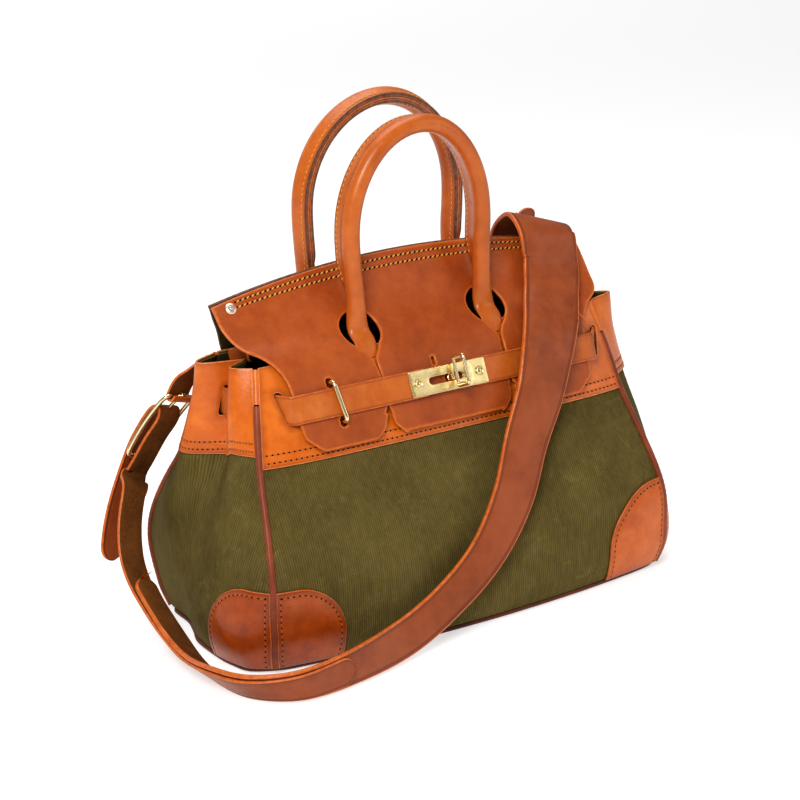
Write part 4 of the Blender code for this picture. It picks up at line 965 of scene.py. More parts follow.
# Walls, bands, patches and piping -----------------------------------------------------------
threads, dots = Batch(), Batch()
top = LAYER + BAND
for face, sign in FACES:
    outward = FRONT if sign < 0 else BACK
    sheet(face + "_wall", body_face(sign), face_outline(FOOT, BODY_TOP), -CANVAS, 0.0, outward,
          0.0045, (CLOTH, CLOTH, LINING), nodes=(face + "_panel",), holes=wall_holes(sign))
    reach = half_width(BAND_BOTTOM) - 0.007
    rows = [[(x, BAND_BOTTOM + rise) for x in np.linspace(-reach, reach, 60)] for rise in SEAM_RISES]
    sheet(face + "_band_leather", body_face(sign), face_outline(BAND_BOTTOM, BODY_TOP + 0.0007),
          LAYER, top, outward, 0.0045, (TAN, BAND_EDGE, FLESH), nodes=(face + "_band",),
          holes=wall_holes(sign), grooves=rows)
    for row in rows:
        stitch(threads, dots, body_face(sign), outward, row, top - SUNK, hole=0.00080)

for side, sign in SIDES:
    outward = np.array([sign, 0.0, 0.0])
    sheet(side + "_side_wall", body_side(sign), side_outline(FOOT, BODY_TOP), -CANVAS, 0.0,
          outward, 0.0040, (CLOTH_SIDE, CLOTH_SIDE, LINING), nodes=(side + "_gusset",),
          holes=belt_windows(sign))
    rows = [[(u, side_hem(u) + rise) for u in np.linspace(-0.090, 0.090, 80)] for rise in SEAM_RISES]
    hem = [(u, side_hem(u)) for u in np.linspace(-0.0955, 0.0955, 50)]
    rest = side_outline(side_hem(-SIDE_HALF), BODY_TOP + 0.0007)
    rest = [(u, z) for u, z in rest if z > side_hem(u) + 0.002]
    sheet(side + "_side_band_leather", body_side(sign), hem + rest, LAYER, top, outward, 0.0036,
          (TAN, BAND_EDGE, FLESH), nodes=(side + "_side_band",), holes=belt_windows(sign), grooves=rows)
    for row in rows:
        stitch(threads, dots, body_side(sign), outward, row, top - SUNK, hole=0.00080)


def patch_outline(corner, inner, sign, top, radius):
    bend = arc(inner + radius, top - radius, radius, radius, 90, 180, 14)
    edge = [(corner(z), z) for z in heights(0.0056, top)]
    return [(sign * float(u), z) for u, z in edge + bend + [(inner, 0.0056)]]


def patch_row(corner, inner, sign, top, radius, inset=0.0042):
    """The seam that follows the patch's top and its round inner corner."""
    bend = arc(inner + radius, top - radius, radius - inset, radius - inset, 90, 180, 20)
    line = [(corner(top) - 0.004, top - inset)] + bend + [(inner + inset, 0.008)]
    return [(sign * float(u), z) for u, z in line]


for side, sign in SIDES:
    wide = float(half_width(0.03)) - (0.058 if sign < 0 else 0.064)
    height, radius = (PATCH, 0.040) if sign < 0 else (0.079, 0.052)
    # the right patches take the lighter copy of the patch leather, a painted highlight for the light on the
    # right side; the left ones keep the plain patch leather
    face_leather = PATCH_TAN if sign < 0 else PATCH_PAINTED_LIT
    for name, surface, corner, inner, mirror, outward in (
            ("front", body_face(-1), face_corner, wide, sign, FRONT),
            ("side", body_side(sign), side_corner, SIDE_HALF - 0.061, -1, np.array([sign, 0.0, 0.0]))):
        row = patch_row(corner, inner, mirror, height, radius)
        seam = [(mirror * (float(corner(z)) - 0.0035), z) for z in heights(0.008, height - 0.004)]
        sheet(f"{side}_{name}_patch_leather", surface, patch_outline(corner, inner, mirror, height, radius),
              LAYER, top, outward, 0.0032, (face_leather, ORANGE_EDGE, FLESH),
              nodes=(f"{side}_{name}_patch",), grooves=[row])
        stitch(threads, dots, surface, outward, row, top - SUNK, hole=0.00072)
        stitch(threads, dots, surface, outward, seam, top, hole=0.00072)
threads.build("body_stitches", TAN_THREAD, ROOT)
dots.build("body_needle_holes", HOLE, ROOT, ends=HOLE_ENDS)


def piping(name, path, node, radius, mat):
    """A welt: a leather-covered cord that swells a little between its stitches."""
    path = catmull(path, 0.0022)
    run = np.arange(len(path)) * 0.0022
    sizes = radius * (1 + 0.05 * np.sin(run * 2 * math.pi / 0.0045) + 0.05 * ripple(run, 0, 5, 0.06, 4))
    wander = 0.0005 * ripple(run, 0, len(name), 0.05, 5)
    path = path + np.outer(wander, [0.7, 0.7, 0.0])
    obj = tube(name, path, sizes, (mat,), 12, hint=BACK)
    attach(obj, ROOT)
    if mat is PIPE:
        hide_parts(node)


for face, face_sign in FACES:
    for side, side_sign in SIDES:
        welt = 0.0027 if face_sign < 0 else 0.0020
        for part, low, high, radius, mat in (("welt", 0.0060, 0.1950, welt, PIPE),
                                             ("corner_seam", 0.1962, BODY_TOP, 0.0024, TAN)):
            path = [(side_sign * (half_width(z) + 0.0003),
                     face_sign * (wall_depth(face_sign, z) + 0.0003), z)
                    for z in heights(low, high, 0.012)]
            piping(f"{face}_{side}_{part}", np.array(path, float), f"{face}_{side}_piping", radius, mat)


def foot_path():
    """Once round the bag's lower edge, just inside its walls."""
    wide = float(half_width(FOOT))
    right = []
    for sign in (-1, 1):
        face = body_face(sign)
        run = [face(x * wide, FOOT) for x in (0, 0.15, 0.3, 0.45, 0.6, 0.78, 0.92)]
        run.append(np.array([wide - 0.0015, sign * (float(wall_depth(sign, FOOT)) - 0.0015), 0]))
        run += [body_side(1)(sign * u, FOOT) for u in (0.085, 0.066, 0.05, 0.025)]
        right += run if sign < 0 else [body_side(1)(0, FOOT)] + run[::-1]
    loop = [(p[0], p[1]) for p in right] + [(-p[0], p[1]) for p in right[-2:0:-1]]
    return np.array([(x * 0.996, y * 0.985, 0.0030) for x, y in loop])


loop = foot_path()
loop = catmull(np.vstack([loop, loop[:1]]), 0.004)[:-1]
# the base welt wears the darker copy of the piping leather, partly painted shade along the foot
welt = tube("base_welt", loop, 0.0019, (PIPE_PAINTED_SHADE,), 12, closed=True)
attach(welt, ROOT)
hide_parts("base_piping")

# a small folded tab stands in the dip at the top of each side
for side, sign in SIDES:
    plan = [(0.1580, 0.0125), (0.1520, 0.0085), (0.1490, 0.0015), (0.1500, -0.0060), (0.1555, -0.0105)]
    upright = unit(np.array([sign * 0.12, 0.05, 1.0]))
    rows = [(np.array([sign * x, y, BODY_TOP + 0.002 * k]), upright, 0.013) for k, (x, y) in enumerate(plan)]
    tab = ribbon(side + "_fold_tab", rows, 0.0020, (BELT_TAN, ORANGE_EDGE, FLESH),
                 np.array([sign, 0.0, 0.0]), 0.002, tips=(0.003, 0.004), edge=0.7)
    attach(tab, ROOT)


# Flap, yoke and rivets ----------------------------------------------------------------------
KEY_X, KEY_T, KEY_R = 0.0605, 0.0595, 0.0168
SLIT_X = 0.0595
RIDGE_REACH = 0.155


def flap_outline():
    """Down each side of the flap, round its tab, up the slit, round the keyhole, and to the middle."""
    sides = {-1: [(0.1750, 0.0), (0.1748, 0.016), (0.1742, 0.030), (0.1705, 0.046), (0.1640, 0.058),
                  (0.1540, 0.0670), (0.1462, 0.0770), (0.1414, 0.090), (0.1402, 0.105), (0.1400, 0.118)],
             1: [(0.1750, 0.0), (0.1750, 0.016), (0.1746, 0.032), (0.1737, 0.046), (0.1718, 0.059),
                 (0.1665, 0.0680), (0.1560, 0.0755), (0.1470, 0.0860), (0.1415, 0.100), (0.1400, 0.118)]}
    tab = rounded([(0.1400, 0.119), (0.1375, 0.1365), (0.1235, 0.1490), (0.0735, 0.1490),
                   (0.0652, 0.1420), (0.0600, 0.1300)], 0.0025, 3)
    slit = [(0.0599, 0.126), (0.0603, 0.113), (0.0596, 0.100), (0.0604, 0.092), (0.0612, 0.0860)]
    neck = [(0.0648, 0.0800), (0.0706, 0.0742)]
    bulb = arc(KEY_X, KEY_T, KEY_R, KEY_R, 52, -232, 40)
    neck_in = [(0.0540, 0.0790), (0.0582, 0.0850)]
    slit_in = [(0.0588, 0.092), (0.0581, 0.100), (0.0587, 0.113), (0.0582, 0.126)]
    tongue = rounded([(0.0580, 0.1300), (0.0560, 0.1400), (0.0475, 0.1490), (0.0440, 0.1490)], 0.0025, 3)
    rest = tab[1:] + slit + neck + bulb + neck_in + slit_in + tongue
    right = [tuple(p) for p in catmull(sides[1], 0.003)] + rest
    left = [tuple(p) for p in catmull(sides[-1], 0.003)] + rest
    return right + [(-x, t) for x, t in reversed(left)]


def flap_relief(x, t):
    """Leather lifted along the slits and slightly waved between the tabs."""
    near = np.exp(-((np.abs(x) - SLIT_X) / 0.006) ** 2) * np.clip((t - 0.075) / 0.02, 0, 1)
    lean = np.where(np.abs(x) > SLIT_X, 1.0, -0.2)
    return 0.0009 * near * lean * (1 + 0.4 * np.sin(t * 330)) * np.clip((0.131 - t) / 0.02, 0, 1)


def ridge_rows(*depths):
    """Seams along the ridge, at these depths below it."""
    return [[(x, d) for x in np.linspace(-RIDGE_REACH, RIDGE_REACH, 90)] for d in depths]


threads, dots = Batch(), Batch()
holes = [ring(LOCK_X, BELT_T, 0.0040), slot(-0.0085, 0.0975, 0.0014, 0.0036)]
holes += [slot(x + lean, t, 0.0027, 0.0042) for x, lean, t in staple_legs()]
holes += [ring(x, RIVET_T, 0.0024, 12) for x in (-RIVET_X, RIVET_X)]
rows = ridge_rows(0.0058, 0.0120)
flap = sheet("flap_leather_piece", flap_face, flap_outline(), -FLAP, 0.0, FRONT, 0.0036,
             (RUSSET, ORANGE_EDGE, DARK_FLESH), body=None, nodes=("flap",), holes=holes, grooves=rows,
             edge=0.0010, relief=flap_relief)
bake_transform(flap)
for row in rows:
    stitch(threads, dots, flap_face, FRONT, row, -0.0001, radius=0.00062, length=0.0038, slant=24,
           hole=0.00105)
for obj in (threads.build("ridge_stitches", GOLD_THREAD, None),
            dots.build("ridge_needle_holes", HOLE, None, ends=HOLE_ENDS)):
    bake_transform(obj)

yoke_side = [(0.1750, 0.0), (0.1715, 0.012), (0.1660, 0.030), (0.1600, 0.045), (0.154, 0.062),
             (0.148, 0.076)]
yoke_side = [tuple(p) for p in catmull(yoke_side, 0.004)]
threads, dots = Batch(), Batch()
rows = ridge_rows(0.0055, 0.0140)
sheet("yoke_leather", yoke_face, yoke_side + [(-x, t) for x, t in reversed(yoke_side)], GAP,
      GAP + FLAP, BACK, 0.0045, (RUSSET, RAW_EDGE, LINING), nodes=("back_yoke",), grooves=rows,
      holes=[slot(x, 0.0115, 0.0030, 0.0055) for x in (-RIVET_X, RIVET_X)])
for row in rows:
    stitch(threads, dots, yoke_face, BACK, row, GAP + FLAP - 0.0003, radius=0.00042)
low_seam = [(x, 0.0700) for x in np.linspace(-0.146, 0.146, 80)]
stitch(threads, dots, yoke_face, BACK, low_seam, GAP + FLAP, radius=0.0004)
threads.build("yoke_stitches", GOLD_THREAD, ROOT)
dots.build("yoke_needle_holes", HOLE, ROOT, ends=HOLE_ENDS)

for side, sign in SIDES:
    point, out, _ = flap_frame(sign * RIVET_X, RIVET_T)
    rivet = lathe(side + "_rivet_cap", point, out,
                  [(0.0002, 0.0018), (0.0010, 0.0019), (0.0014, 0.0016), (0.0020, 0.0017),
                   (0.0034, 0.0014), (0.0043, 0.0009), (0.0047, 0.0003), (0.0045, 0.0001),
                   (0.0016, 0.0002), (0.0016, -0.0070), (0.0002, -0.0070)], (COPPER,))
    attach(rivet, ROOT)
    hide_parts(side + "_ridge_rivet")


# Belt, plates, staples and lock -------------------------------------------------------------
# Each belt end lies flat on the flap out to a place, then bends through its slot and round the
# side; the left one turns in nearer the flap.
BELT_BENDS = {
    "left": (0.1375, [(0.1412, -0.0520), (0.1440, -0.0478), (0.1460, -0.0425), (0.1505, -0.0350),
                      (0.1600, -0.0245), (0.1670, -0.0120), (0.1690, 0.0)]),
    "right": (0.1412, [(0.1460, -0.0520), (0.1510, -0.0460), (0.1560, -0.0398), (0.1620, -0.0320),
                       (0.1665, -0.0225), (0.1686, -0.0110), (0.1690, 0.0)]),
}


def belt_stations(side, sign, start, lift):
    """One end of the belt, from the lock along the flap, round the side and on to the back."""
    base = GAP + BELT / 2
    last, bend = BELT_BENDS[side]
    rows = []
    for x, extra in ((start, lift), (0.045, lift), (0.080, 0.0), (0.110, 0.0), (last, 0.0)):
        centre = BELT_POINT + np.array([sign * x, 0, 0]) + BELT_OUT * (base + extra)
        rows.append((centre, BELT_DOWN))
    for i, (x, y) in enumerate(bend):
        turn = min(1.0, (i + 1) / 3)
        rows.append((np.array([sign * x, y, BELT_Z]), unit(BELT_DOWN * (1 - turn) - UP * turn)))
    mirror = np.array([1.0, -1.0, 1.0])
    back = [(c * mirror, w * mirror) for c, w in reversed(rows[4:-1])]
    rows += back
    rows.append((np.array([sign * 0.085, back[-1][0][1], back[-1][0][2]]), back[-1][1]))
    return [(c, w, BELT_WIDE) for c, w in rows]


for (side, sign), start, lift in zip(SIDES, (0.0236, 0.024), (0.0016, 0.0)):
    belt = ribbon(side + "_belt_strap", belt_stations(side, sign, start, lift), BELT - 0.0001,
                  (BELT_TAN, ORANGE_EDGE, FLESH), FRONT, 0.003, crown=0.00015, edge=0.7)
    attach(belt, ROOT)
    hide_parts(side + "_belt_arm")


def plate_face(x, t):
    """The flat plane of the brass plates, square to the belt's face."""
    x = np.asarray(x, float)
    t = np.asarray(t, float)
    flat = np.array([0, BELT_POINT[1], BELT_POINT[2]]) + t[..., None] * BELT_DOWN
    flat[..., 0] = x
    return flat


PLATE = 0.0012
half = 0.0102
window = arc(0.0085, 0, 0.0030, 0.0030, -90, 90, 10) + arc(-0.0185, 0, 0.0030, 0.0030, 90, 270, 10)
PLATES = (("right", 0.0275, 0.0,
           rounded([(-0.0230, -half), (0.0345, -half), (0.0345, half), (-0.0230, half)], 0.0012)),
          ("left", -0.0320, 0.0015,
           rounded([(-0.0390, -half), (0.0170, -half), (0.0210, -half + 0.004),
                    (0.0210, half - 0.004), (0.0170, half), (-0.0390, half)], 0.0010)))
for side, x, raised, outline in PLATES:
    low = GAP + BELT + GAP + raised
    sheet(side + "_plate", plate_face, outline, low, low + PLATE, FRONT, 0.003, (BRASS, BRASS, BRASS),
          nodes=(side + "_belt_plate",), edge=0.0003, holes=[window, ring(x, 0, 0.0014, 12)])
for side, x, raised, _ in reversed(PLATES):
    top = GAP + BELT + GAP + raised + PLATE + GAP
    screw = lathe(side + "_screw", plate_face(x, 0.0), BELT_OUT,
                  [(0.0002, top + 0.0011), (0.0012, top + 0.0010), (0.0021, top + 0.0007),
                   (0.0026, top + 0.0003), (0.0027, top + 0.0001), (0.0027, top - 0.0002),
                   (0.0011, top - 0.0002), (0.0011, top - 0.0014), (0.0002, top - 0.0014)], (BRASS,))
    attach(screw, ROOT)
    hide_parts(side + "_plate_screw")
    dish = lathe(side + "_screw_ring", plate_face(x, 0.0), BELT_OUT,
                 [(0.0031, top - 0.00032), (0.0040, top - 0.00032), (0.0041, top - 0.00015),
                  (0.0036, top + 0.00010), (0.0032, top - 0.00015)], (BRASS,))
    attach(dish, ROOT)

for side, sign in SIDES:
    point, out, down = flap_frame(sign * STAPLE_X, BELT_T)
    reach = GAP + BELT + GAP + STAPLE_R + 0.0004
    bend = 0.0034
    route = [(-STAPLE_HALF, h) for h in np.linspace(-0.0128, reach - bend, 6)]
    route += [(-STAPLE_HALF + bend - bend * math.cos(math.radians(a)),
               reach - bend + bend * math.sin(math.radians(a))) for a in (15, 30, 45, 60, 75, 90)]
    route += [(-t, h) for t, h in reversed(route)]
    lean = np.array([STAPLE_LEAN / STAPLE_HALF, 0, 0])
    wire = tube(side + "_staple_wire", [point + (down + lean) * t + out * h for t, h in route],
                STAPLE_R, (BRASS_WIRE,), 20, hint=np.array([1.0, 0, 0]))
    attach(wire, ROOT)
    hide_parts(side + "_staple")

point, out, down = flap_frame(LOCK_X, BELT_T)
top = 0.0075
post = lathe("turn_lock_post", point, out,
             [(0.0022, -0.0112), (0.0098, -0.0112), (0.0100, -0.0106), (0.0098, -0.0100),
              (0.0034, -0.0100), (0.0034, 0.0020), (0.0029, 0.0024), (0.0029, top - 0.0003),
              (0.0026, top), (0.0022, top)], (BRASS_WIRE,))
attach(post, ROOT)
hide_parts("lock_post")
low = top + GAP + 0.0020
high = low + 0.0140
bend = 0.0018
route = []
for t, h, start in ((0.0112 - bend, high - bend, 0), (bend - 0.0112, high - bend, 90),
                    (bend - 0.0112, low + bend, 180), (0.0112 - bend, low + bend, 270)):
    route += arc(t - 0.0034, h, bend, bend, start, start + 90, 5)
loop = dense([point + down * t + out * h for t, h in route], 0.0012)
toggle = tube("turn_lock_toggle", loop, 0.0019, (BRASS_WIRE,), 18, closed=True, flatten=0.85,
              hint=np.array([1.0, 0, 0]))
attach(toggle, "toggle")
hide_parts("lock_toggle")
stem = lathe("turn_lock_stem", point, out,
             [(0.0001, -0.0090), (0.0018, -0.0090), (0.0018, top + 0.0002), (0.0026, top + 0.0004),
              (0.0026, top + 0.0012), (0.0018, low + 0.0002), (0.0001, low + 0.0004)], (BRASS_WIRE,), 24)
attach(stem, "toggle")


# Handles ------------------------------------------------------------------------------------
flange_depth = smooth((0.225, 0.0003), (0.252, 0.0006), (0.262, 0.0020), (0.275, 0.0055),
                      (0.286, 0.0088), (0.300, 0.0088))
leg_wide = smooth((0.212, 0.0060), (0.219, 0.0085), (0.228, 0.0098), (0.236, 0.0092),
                  (0.248, 0.0078), (0.262, HANDLE_R), (0.30, HANDLE_R))
leg_thick = smooth((0.212, 0.0008), (0.222, 0.0012), (0.229, 0.0030), (0.236, 0.0058),
                   (0.246, 0.0070), (0.255, HANDLE_R), (0.30, HANDLE_R))
ARCH_R = 0.080
SPLAY = 0.0045
WORN_IN = 0.0050
LIP = 0.0047


def handle_path(y, leg_x, height, lean, foot):
    """Up the left leg, over the arch and down the right leg."""
    widest = height - ARCH_R

    def leaning(z):
        return y + lean * (z - HINGE_Z) / (height - HINGE_Z)

    legs = [(leg_x, *p) for p in foot]
    for z in np.linspace(HINGE_Z, widest, 6)[:-1]:
        ease = 0.5 - 0.5 * math.cos(math.pi * (z - HINGE_Z) / (widest - HINGE_Z))
        legs.append((leg_x + SPLAY * ease, leaning(z), z))
    arch = [(x, leaning(z), z) for x, z in arc(0.0, widest, leg_x + SPLAY, ARCH_R, 180, 0, 18)]
    path = [(-x, py, z) for x, py, z in legs] + arch + legs[::-1]
    # worn in: the right leg stands a little nearer the middle than the left
    path = [(x - WORN_IN * max(0.0, x / leg_x) * min(1.0, max(0.0, (z - HINGE_Z) / 0.05)), py, z)
            for x, py, z in path]
    return catmull(path, 0.0035)


def handle_section(wide, thick, deep):
    """A handle's outline as (across, inward) points: its round outside and its two sewn edges."""
    lip = 0.0005 + 0.0042 * min(1.0, deep / 0.005)
    reach = thick + deep
    section = [(wide * math.sin(a), -thick * math.cos(a)) for a in np.radians(np.linspace(-128, 128, 23))]
    right = [(lip + 0.30 * (section[-1][0] - lip), thick * 0.92 + 0.12 * deep),
             (lip, thick + 0.45 * deep), (lip, thick + 0.9 * deep), (lip * 0.93, reach),
             (lip * 0.45, reach), (lip * 0.36, reach - 0.0003 * min(1, deep / 0.005)),
             (lip * 0.12, reach - 0.0001)]
    return section + right + [(-x, d) for x, d in reversed(right)]


def handle(name, y, leg_x, height, lean, sign, foot, share):
    """A rolled leather handle, its edges sewn together inside; share scales how deep they reach."""
    path = handle_path(y, leg_x, height, lean, foot)
    along = unit(np.gradient(path, axis=0))
    inner = np.array([0.0, -sign, 0.0])
    toward = unit(inner - along * (along @ inner)[:, None])
    across = np.cross(along, toward)
    rings = []
    for i, p in enumerate(path):
        section = handle_section(float(leg_wide(p[2])), float(leg_thick(p[2])),
                                 float(flange_depth(p[2])) * share)
        rings.append([p + across[i] * x + toward[i] * d for x, d in section])
    size = len(rings[0])
    slot_of = [0] * size
    for k in range(26, 33):
        slot_of[k] = 2 if k in (27, 29, 31) else 1
    ring_border = np.zeros(size)
    ring_border[25:35] = 0.8
    cover = rings_mesh(name + "_handle_cover", rings, (TAN_ROLL, RAW_EDGE, ORANGE_EDGE), slot_of,
                       border=ring_border)
    body = name + "_handle_assembly"
    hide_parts(name + "_handle", name + "_handle_flange", name + "_handle_rope",
                name + "_left_handle_foot", name + "_right_handle_foot")
    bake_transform(cover)

    sewing = Batch()
    keep = path[:, 2] > 0.272
    run = np.concatenate([[0], np.cumsum(np.linalg.norm(np.diff(path, axis=0), axis=1))])
    for s in np.arange(run[keep][0], run[keep][-1], 0.0042):
        p, way, into = (np.array([np.interp(s, run, rows[:, k]) for k in range(3)])
                        for rows in (path, along, toward))
        way, into = unit(way), unit(into)
        out = np.cross(way, into)
        seam = p + into * (HANDLE_R + float(flange_depth(p[2])) * share - 0.0030)
        for flip in (-1, 1):
            sewing.put(seam + out * flip * LIP, way * 0.0016 + into * 0.0003, into * 0.00042,
                       out * flip * 0.0004)
    sewing.build(name + "_handle_stitches", GOLD_THREAD, body)


def foot(y, leg_x, sign):
    """Where a handle's flat end lies on the bag, as (y, z) up to the start of its leg."""
    if sign < 0:
        spots = [body_face(-1)(leg_x, z) + FRONT * (LAYER + BAND + GAP + 0.0009) for z in (0.2140, 0.2205)]
    else:
        spots = [yoke_face(leg_x, t) + BACK * (GAP + FLAP + GAP + 0.0009) for t in (0.0740, 0.0640)]
    top = np.array([leg_x, y + sign * 0.003, 0.2308])
    middle = (spots[1] + top) / 2 + np.array([0, sign * 0.001, 0.0005])
    return [(float(p[1]), float(p[2])) for p in (*spots, middle, top)]


for name, y, leg_x, height, sign, share in (("front", -0.0176, 0.0605, 0.3865, -1, 1.0),
                                            ("back", 0.0375, 0.0700, 0.4000, 1, 0.5)):
    handle(name, y, leg_x, height, -0.002, sign, foot(y, leg_x, sign), share)


# Shoulder strap and its buckles -------------------------------------------------------------
STRAP_EDGES = (
    ((0.1160, 0.0405, 0.2600), (0.1610, 0.0400, 0.2520)),
    ((0.1110, 0.0360, 0.2756), (0.1650, 0.0320, 0.2640)),
    ((0.1095, 0.0240, 0.2885), (0.1665, 0.0190, 0.2735)),
    ((0.1085, 0.0110, 0.2935), (0.1665, 0.0060, 0.2755)),
    ((0.1070, -0.0050, 0.2825), (0.1612, -0.0080, 0.2695)),
    ((0.1070, -0.0120, 0.2620), (0.1615, -0.0125, 0.2500)),
    ((0.0980, -0.0250, 0.2395), (0.1450, -0.0330, 0.2335)),
    ((0.0800, -0.0480, 0.2225), (0.1280, -0.0530, 0.2150)),
    ((0.0645, -0.0640, 0.2040), (0.1105, -0.0685, 0.1885)),
    ((0.0535, -0.0730, 0.1795), (0.0955, -0.0760, 0.1595)),
    ((0.0325, -0.0840, 0.1410), (0.0725, -0.0860, 0.1335)),
    ((0.0083, -0.1000, 0.1049), (0.0450, -0.1020, 0.0934)),
    ((-0.0220, -0.1120, 0.0740), (0.0060, -0.1160, 0.0560)),
    ((-0.0560, -0.1180, 0.0520), (-0.0400, -0.1230, 0.0260)),
    ((-0.1000, -0.1240, 0.0340), (-0.0850, -0.1270, 0.0070)),
    ((-0.1560, -0.1410, 0.0300), (-0.1500, -0.1400, 0.0020)),
    ((-0.2030, -0.1440, 0.0270), (-0.1940, -0.1380, 0.0010)),
    ((-0.2350, -0.1230, 0.0240), (-0.2200, -0.1150, 0.0010)),
    ((-0.2460, -0.0850, 0.0220), (-0.2260, -0.0820, 0.0020)),
    ((-0.2450, -0.0500, 0.0190), (-0.2240, -0.0470, 0.0050)),
    ((-0.2440, -0.0200, 0.0260), (-0.2220, -0.0170, 0.0150)),
    ((-0.2450, 0.0060, 0.0420), (-0.2250, 0.0080, 0.0340)),
    ((-0.2460, 0.0250, 0.0580), (-0.2260, 0.0260, 0.0500)),
)


def strap_stations():
    """The strap's stations between its two edges, kept above the ground."""
    edges = np.array(STRAP_EDGES)
    middles = edges.mean(1)
    along = unit(np.gradient(middles, axis=0))
    wide = edges[:, 1] - edges[:, 0]
    faces = np.cross(wide, along)
    rows = []
    for c, a, f in zip(middles, wide, unit(faces)):
        width = float(np.linalg.norm(a))
        a = unit(a)
        f = unit(f - a * (f @ a))
        sink = width / 2 * abs(a[2]) + STRAP / 2 * abs(f[2])
        c = c.copy()
        c[2] = max(c[2], sink + GAP)
        rows.append((c, a, width))
    return rows


stations = strap_stations()
strap = ribbon("shoulder_strap_leather", stations, STRAP, (STRAP_MAT, ORANGE_EDGE, FLESH),
               np.array([0.2, 1.0, 0.0]), 0.0030, tips=(0.008, 0.010), crease=0.0030, crown=0.00035,
               edge=0.75)
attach(strap, ROOT)
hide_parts("shoulder_strap")

BUCKLE_HALF, BUCKLE_WIDE, BUCKLE_R = 0.031, 0.0155, 0.0019


class Buckle:
    """A buckle's place: its centre, the way its strap runs, the way its bars lie, and its face."""

    def __init__(self, centre, along, across):
        self.centre = np.array(centre)
        self.along = unit(np.array(along, float))
        across = np.array(across, float)
        self.across = unit(across - self.along * (across @ self.along))
        self.out = unit(np.cross(self.along, self.across))
        if self.out @ BACK < 0:
            self.out = -self.out

    def at(self, w, l, n):
        return self.centre + self.across * w + self.along * l + self.out * n


def arch(l):
    """How far a buckle's frame bows out at a distance l from its middle."""
    return 0.003 * (1 - (l / BUCKLE_HALF) ** 2)


PLACES = {
    "left": (Buckle((-0.1920, 0.0640, 0.1590), (-0.37, 0.435, -0.82), (0.925, 0.257, -0.278)),
             [(-0.1560, 0.0400, 0.2100), (-0.1685, 0.0450, 0.2015)]),
    "right": (Buckle((0.1575, 0.0600, 0.2345), (0, 0.06, 0.998), (1, 0, 0)),
              [(0.1570, 0.0545, 0.1690), (0.1572, 0.0565, 0.1790)]),
}


def frame_path(at):
    """The closed ring of a buckle: two long sides, two bars and rounded corners."""
    corner = 0.006
    route = []
    for w, l, start in ((1, 1, 0), (-1, 1, 90), (-1, -1, 180), (1, -1, 270)):
        for a in np.linspace(start, start + 90, 8):
            t = math.radians(a)
            route.append((w * (BUCKLE_WIDE - corner) + corner * math.cos(t),
                          l * (BUCKLE_HALF - corner) + corner * math.sin(t)))
    route = dense(route, 0.003)
    return [at(w, l, arch(l)) for w, l in route]


def hook_path(at):
    """A chape: from the bag, round the buckle's lower bar and back under itself."""
    rows = [(-0.042, 0.0052)]
    rows += [(-BUCKLE_HALF + 0.0038 * math.sin(math.radians(a)), 0.0038 * math.cos(math.radians(a)))
             for a in (0, 30, 60, 90, 120, 150, 180)]
    rows.append((-0.0335, -0.0036))
    return [at(0, l, n) for l, n in rows]


def billet_route(side, buckle, toward):
    """A billet's places and ways across: along the strap's end, through the buckle and back."""
    strap_end = [stations[i] for i in (range(-8, 0) if side == "left" else (2, 1, 0))]
    runs = unit(np.gradient(np.array([c for c, _, _ in strap_end]), axis=0))
    route = []
    for (c, a, _), way in zip(strap_end, runs):
        face = unit(np.cross(way, a))
        if face @ toward < 0:
            face = -face
        route.append((c + face * (STRAP / 2 + GAP + BILLET / 2), a))
    if side == "left":
        route += [(np.array(p), None) for p in ((-0.2350, 0.0420, 0.0680), (-0.2290, 0.0530, 0.0900),
                                                (-0.2190, 0.0620, 0.1130))]
        inward = [(0.046, -0.0062), (0.031, -0.0044), (0.010, -0.0022)]
        free = [(-0.2160, 0.0890, 0.1010), (-0.2250, 0.0880, 0.0740), (-0.2310, 0.0840, 0.0500)]
    else:
        inward = [(0.0060, -0.0060), (-0.0010, -0.0034)]
        free = [(0.1670, 0.0660, 0.2720), (0.1660, 0.0640, 0.2805)]
    loop = inward + [(-0.0060, -0.0022), (-0.0135, 0), (-0.0160, 0.0040), (-0.0135, 0.0080),
                     (-0.006, 0.0102), (0.010, 0.0098), (0.030, 0.0066)]
    route += [(buckle.at(0, l, n), buckle.across) for l, n in loop]
    return route + [(np.array(p), buckle.across) for p in free]


def eased(ways):
    """The ways across with the gaps filled, and all turned to agree."""
    known = [i for i, a in enumerate(ways) if a is not None]
    ways = [None if a is None else unit(np.array(a, float)) for a in ways]
    for i in range(len(ways)):
        if ways[i] is None:
            before = max(k for k in known if k < i)
            after = min(k for k in known if k > i)
            t = (i - before) / (after - before)
            first, second = ways[before], ways[after]
            if first @ second < 0:
                second = -second
            ways[i] = unit(first * (1 - t) + second * t)
    for i in range(1, len(ways)):
        if ways[i] @ ways[i - 1] < 0:
            ways[i] = -ways[i]
    return ways


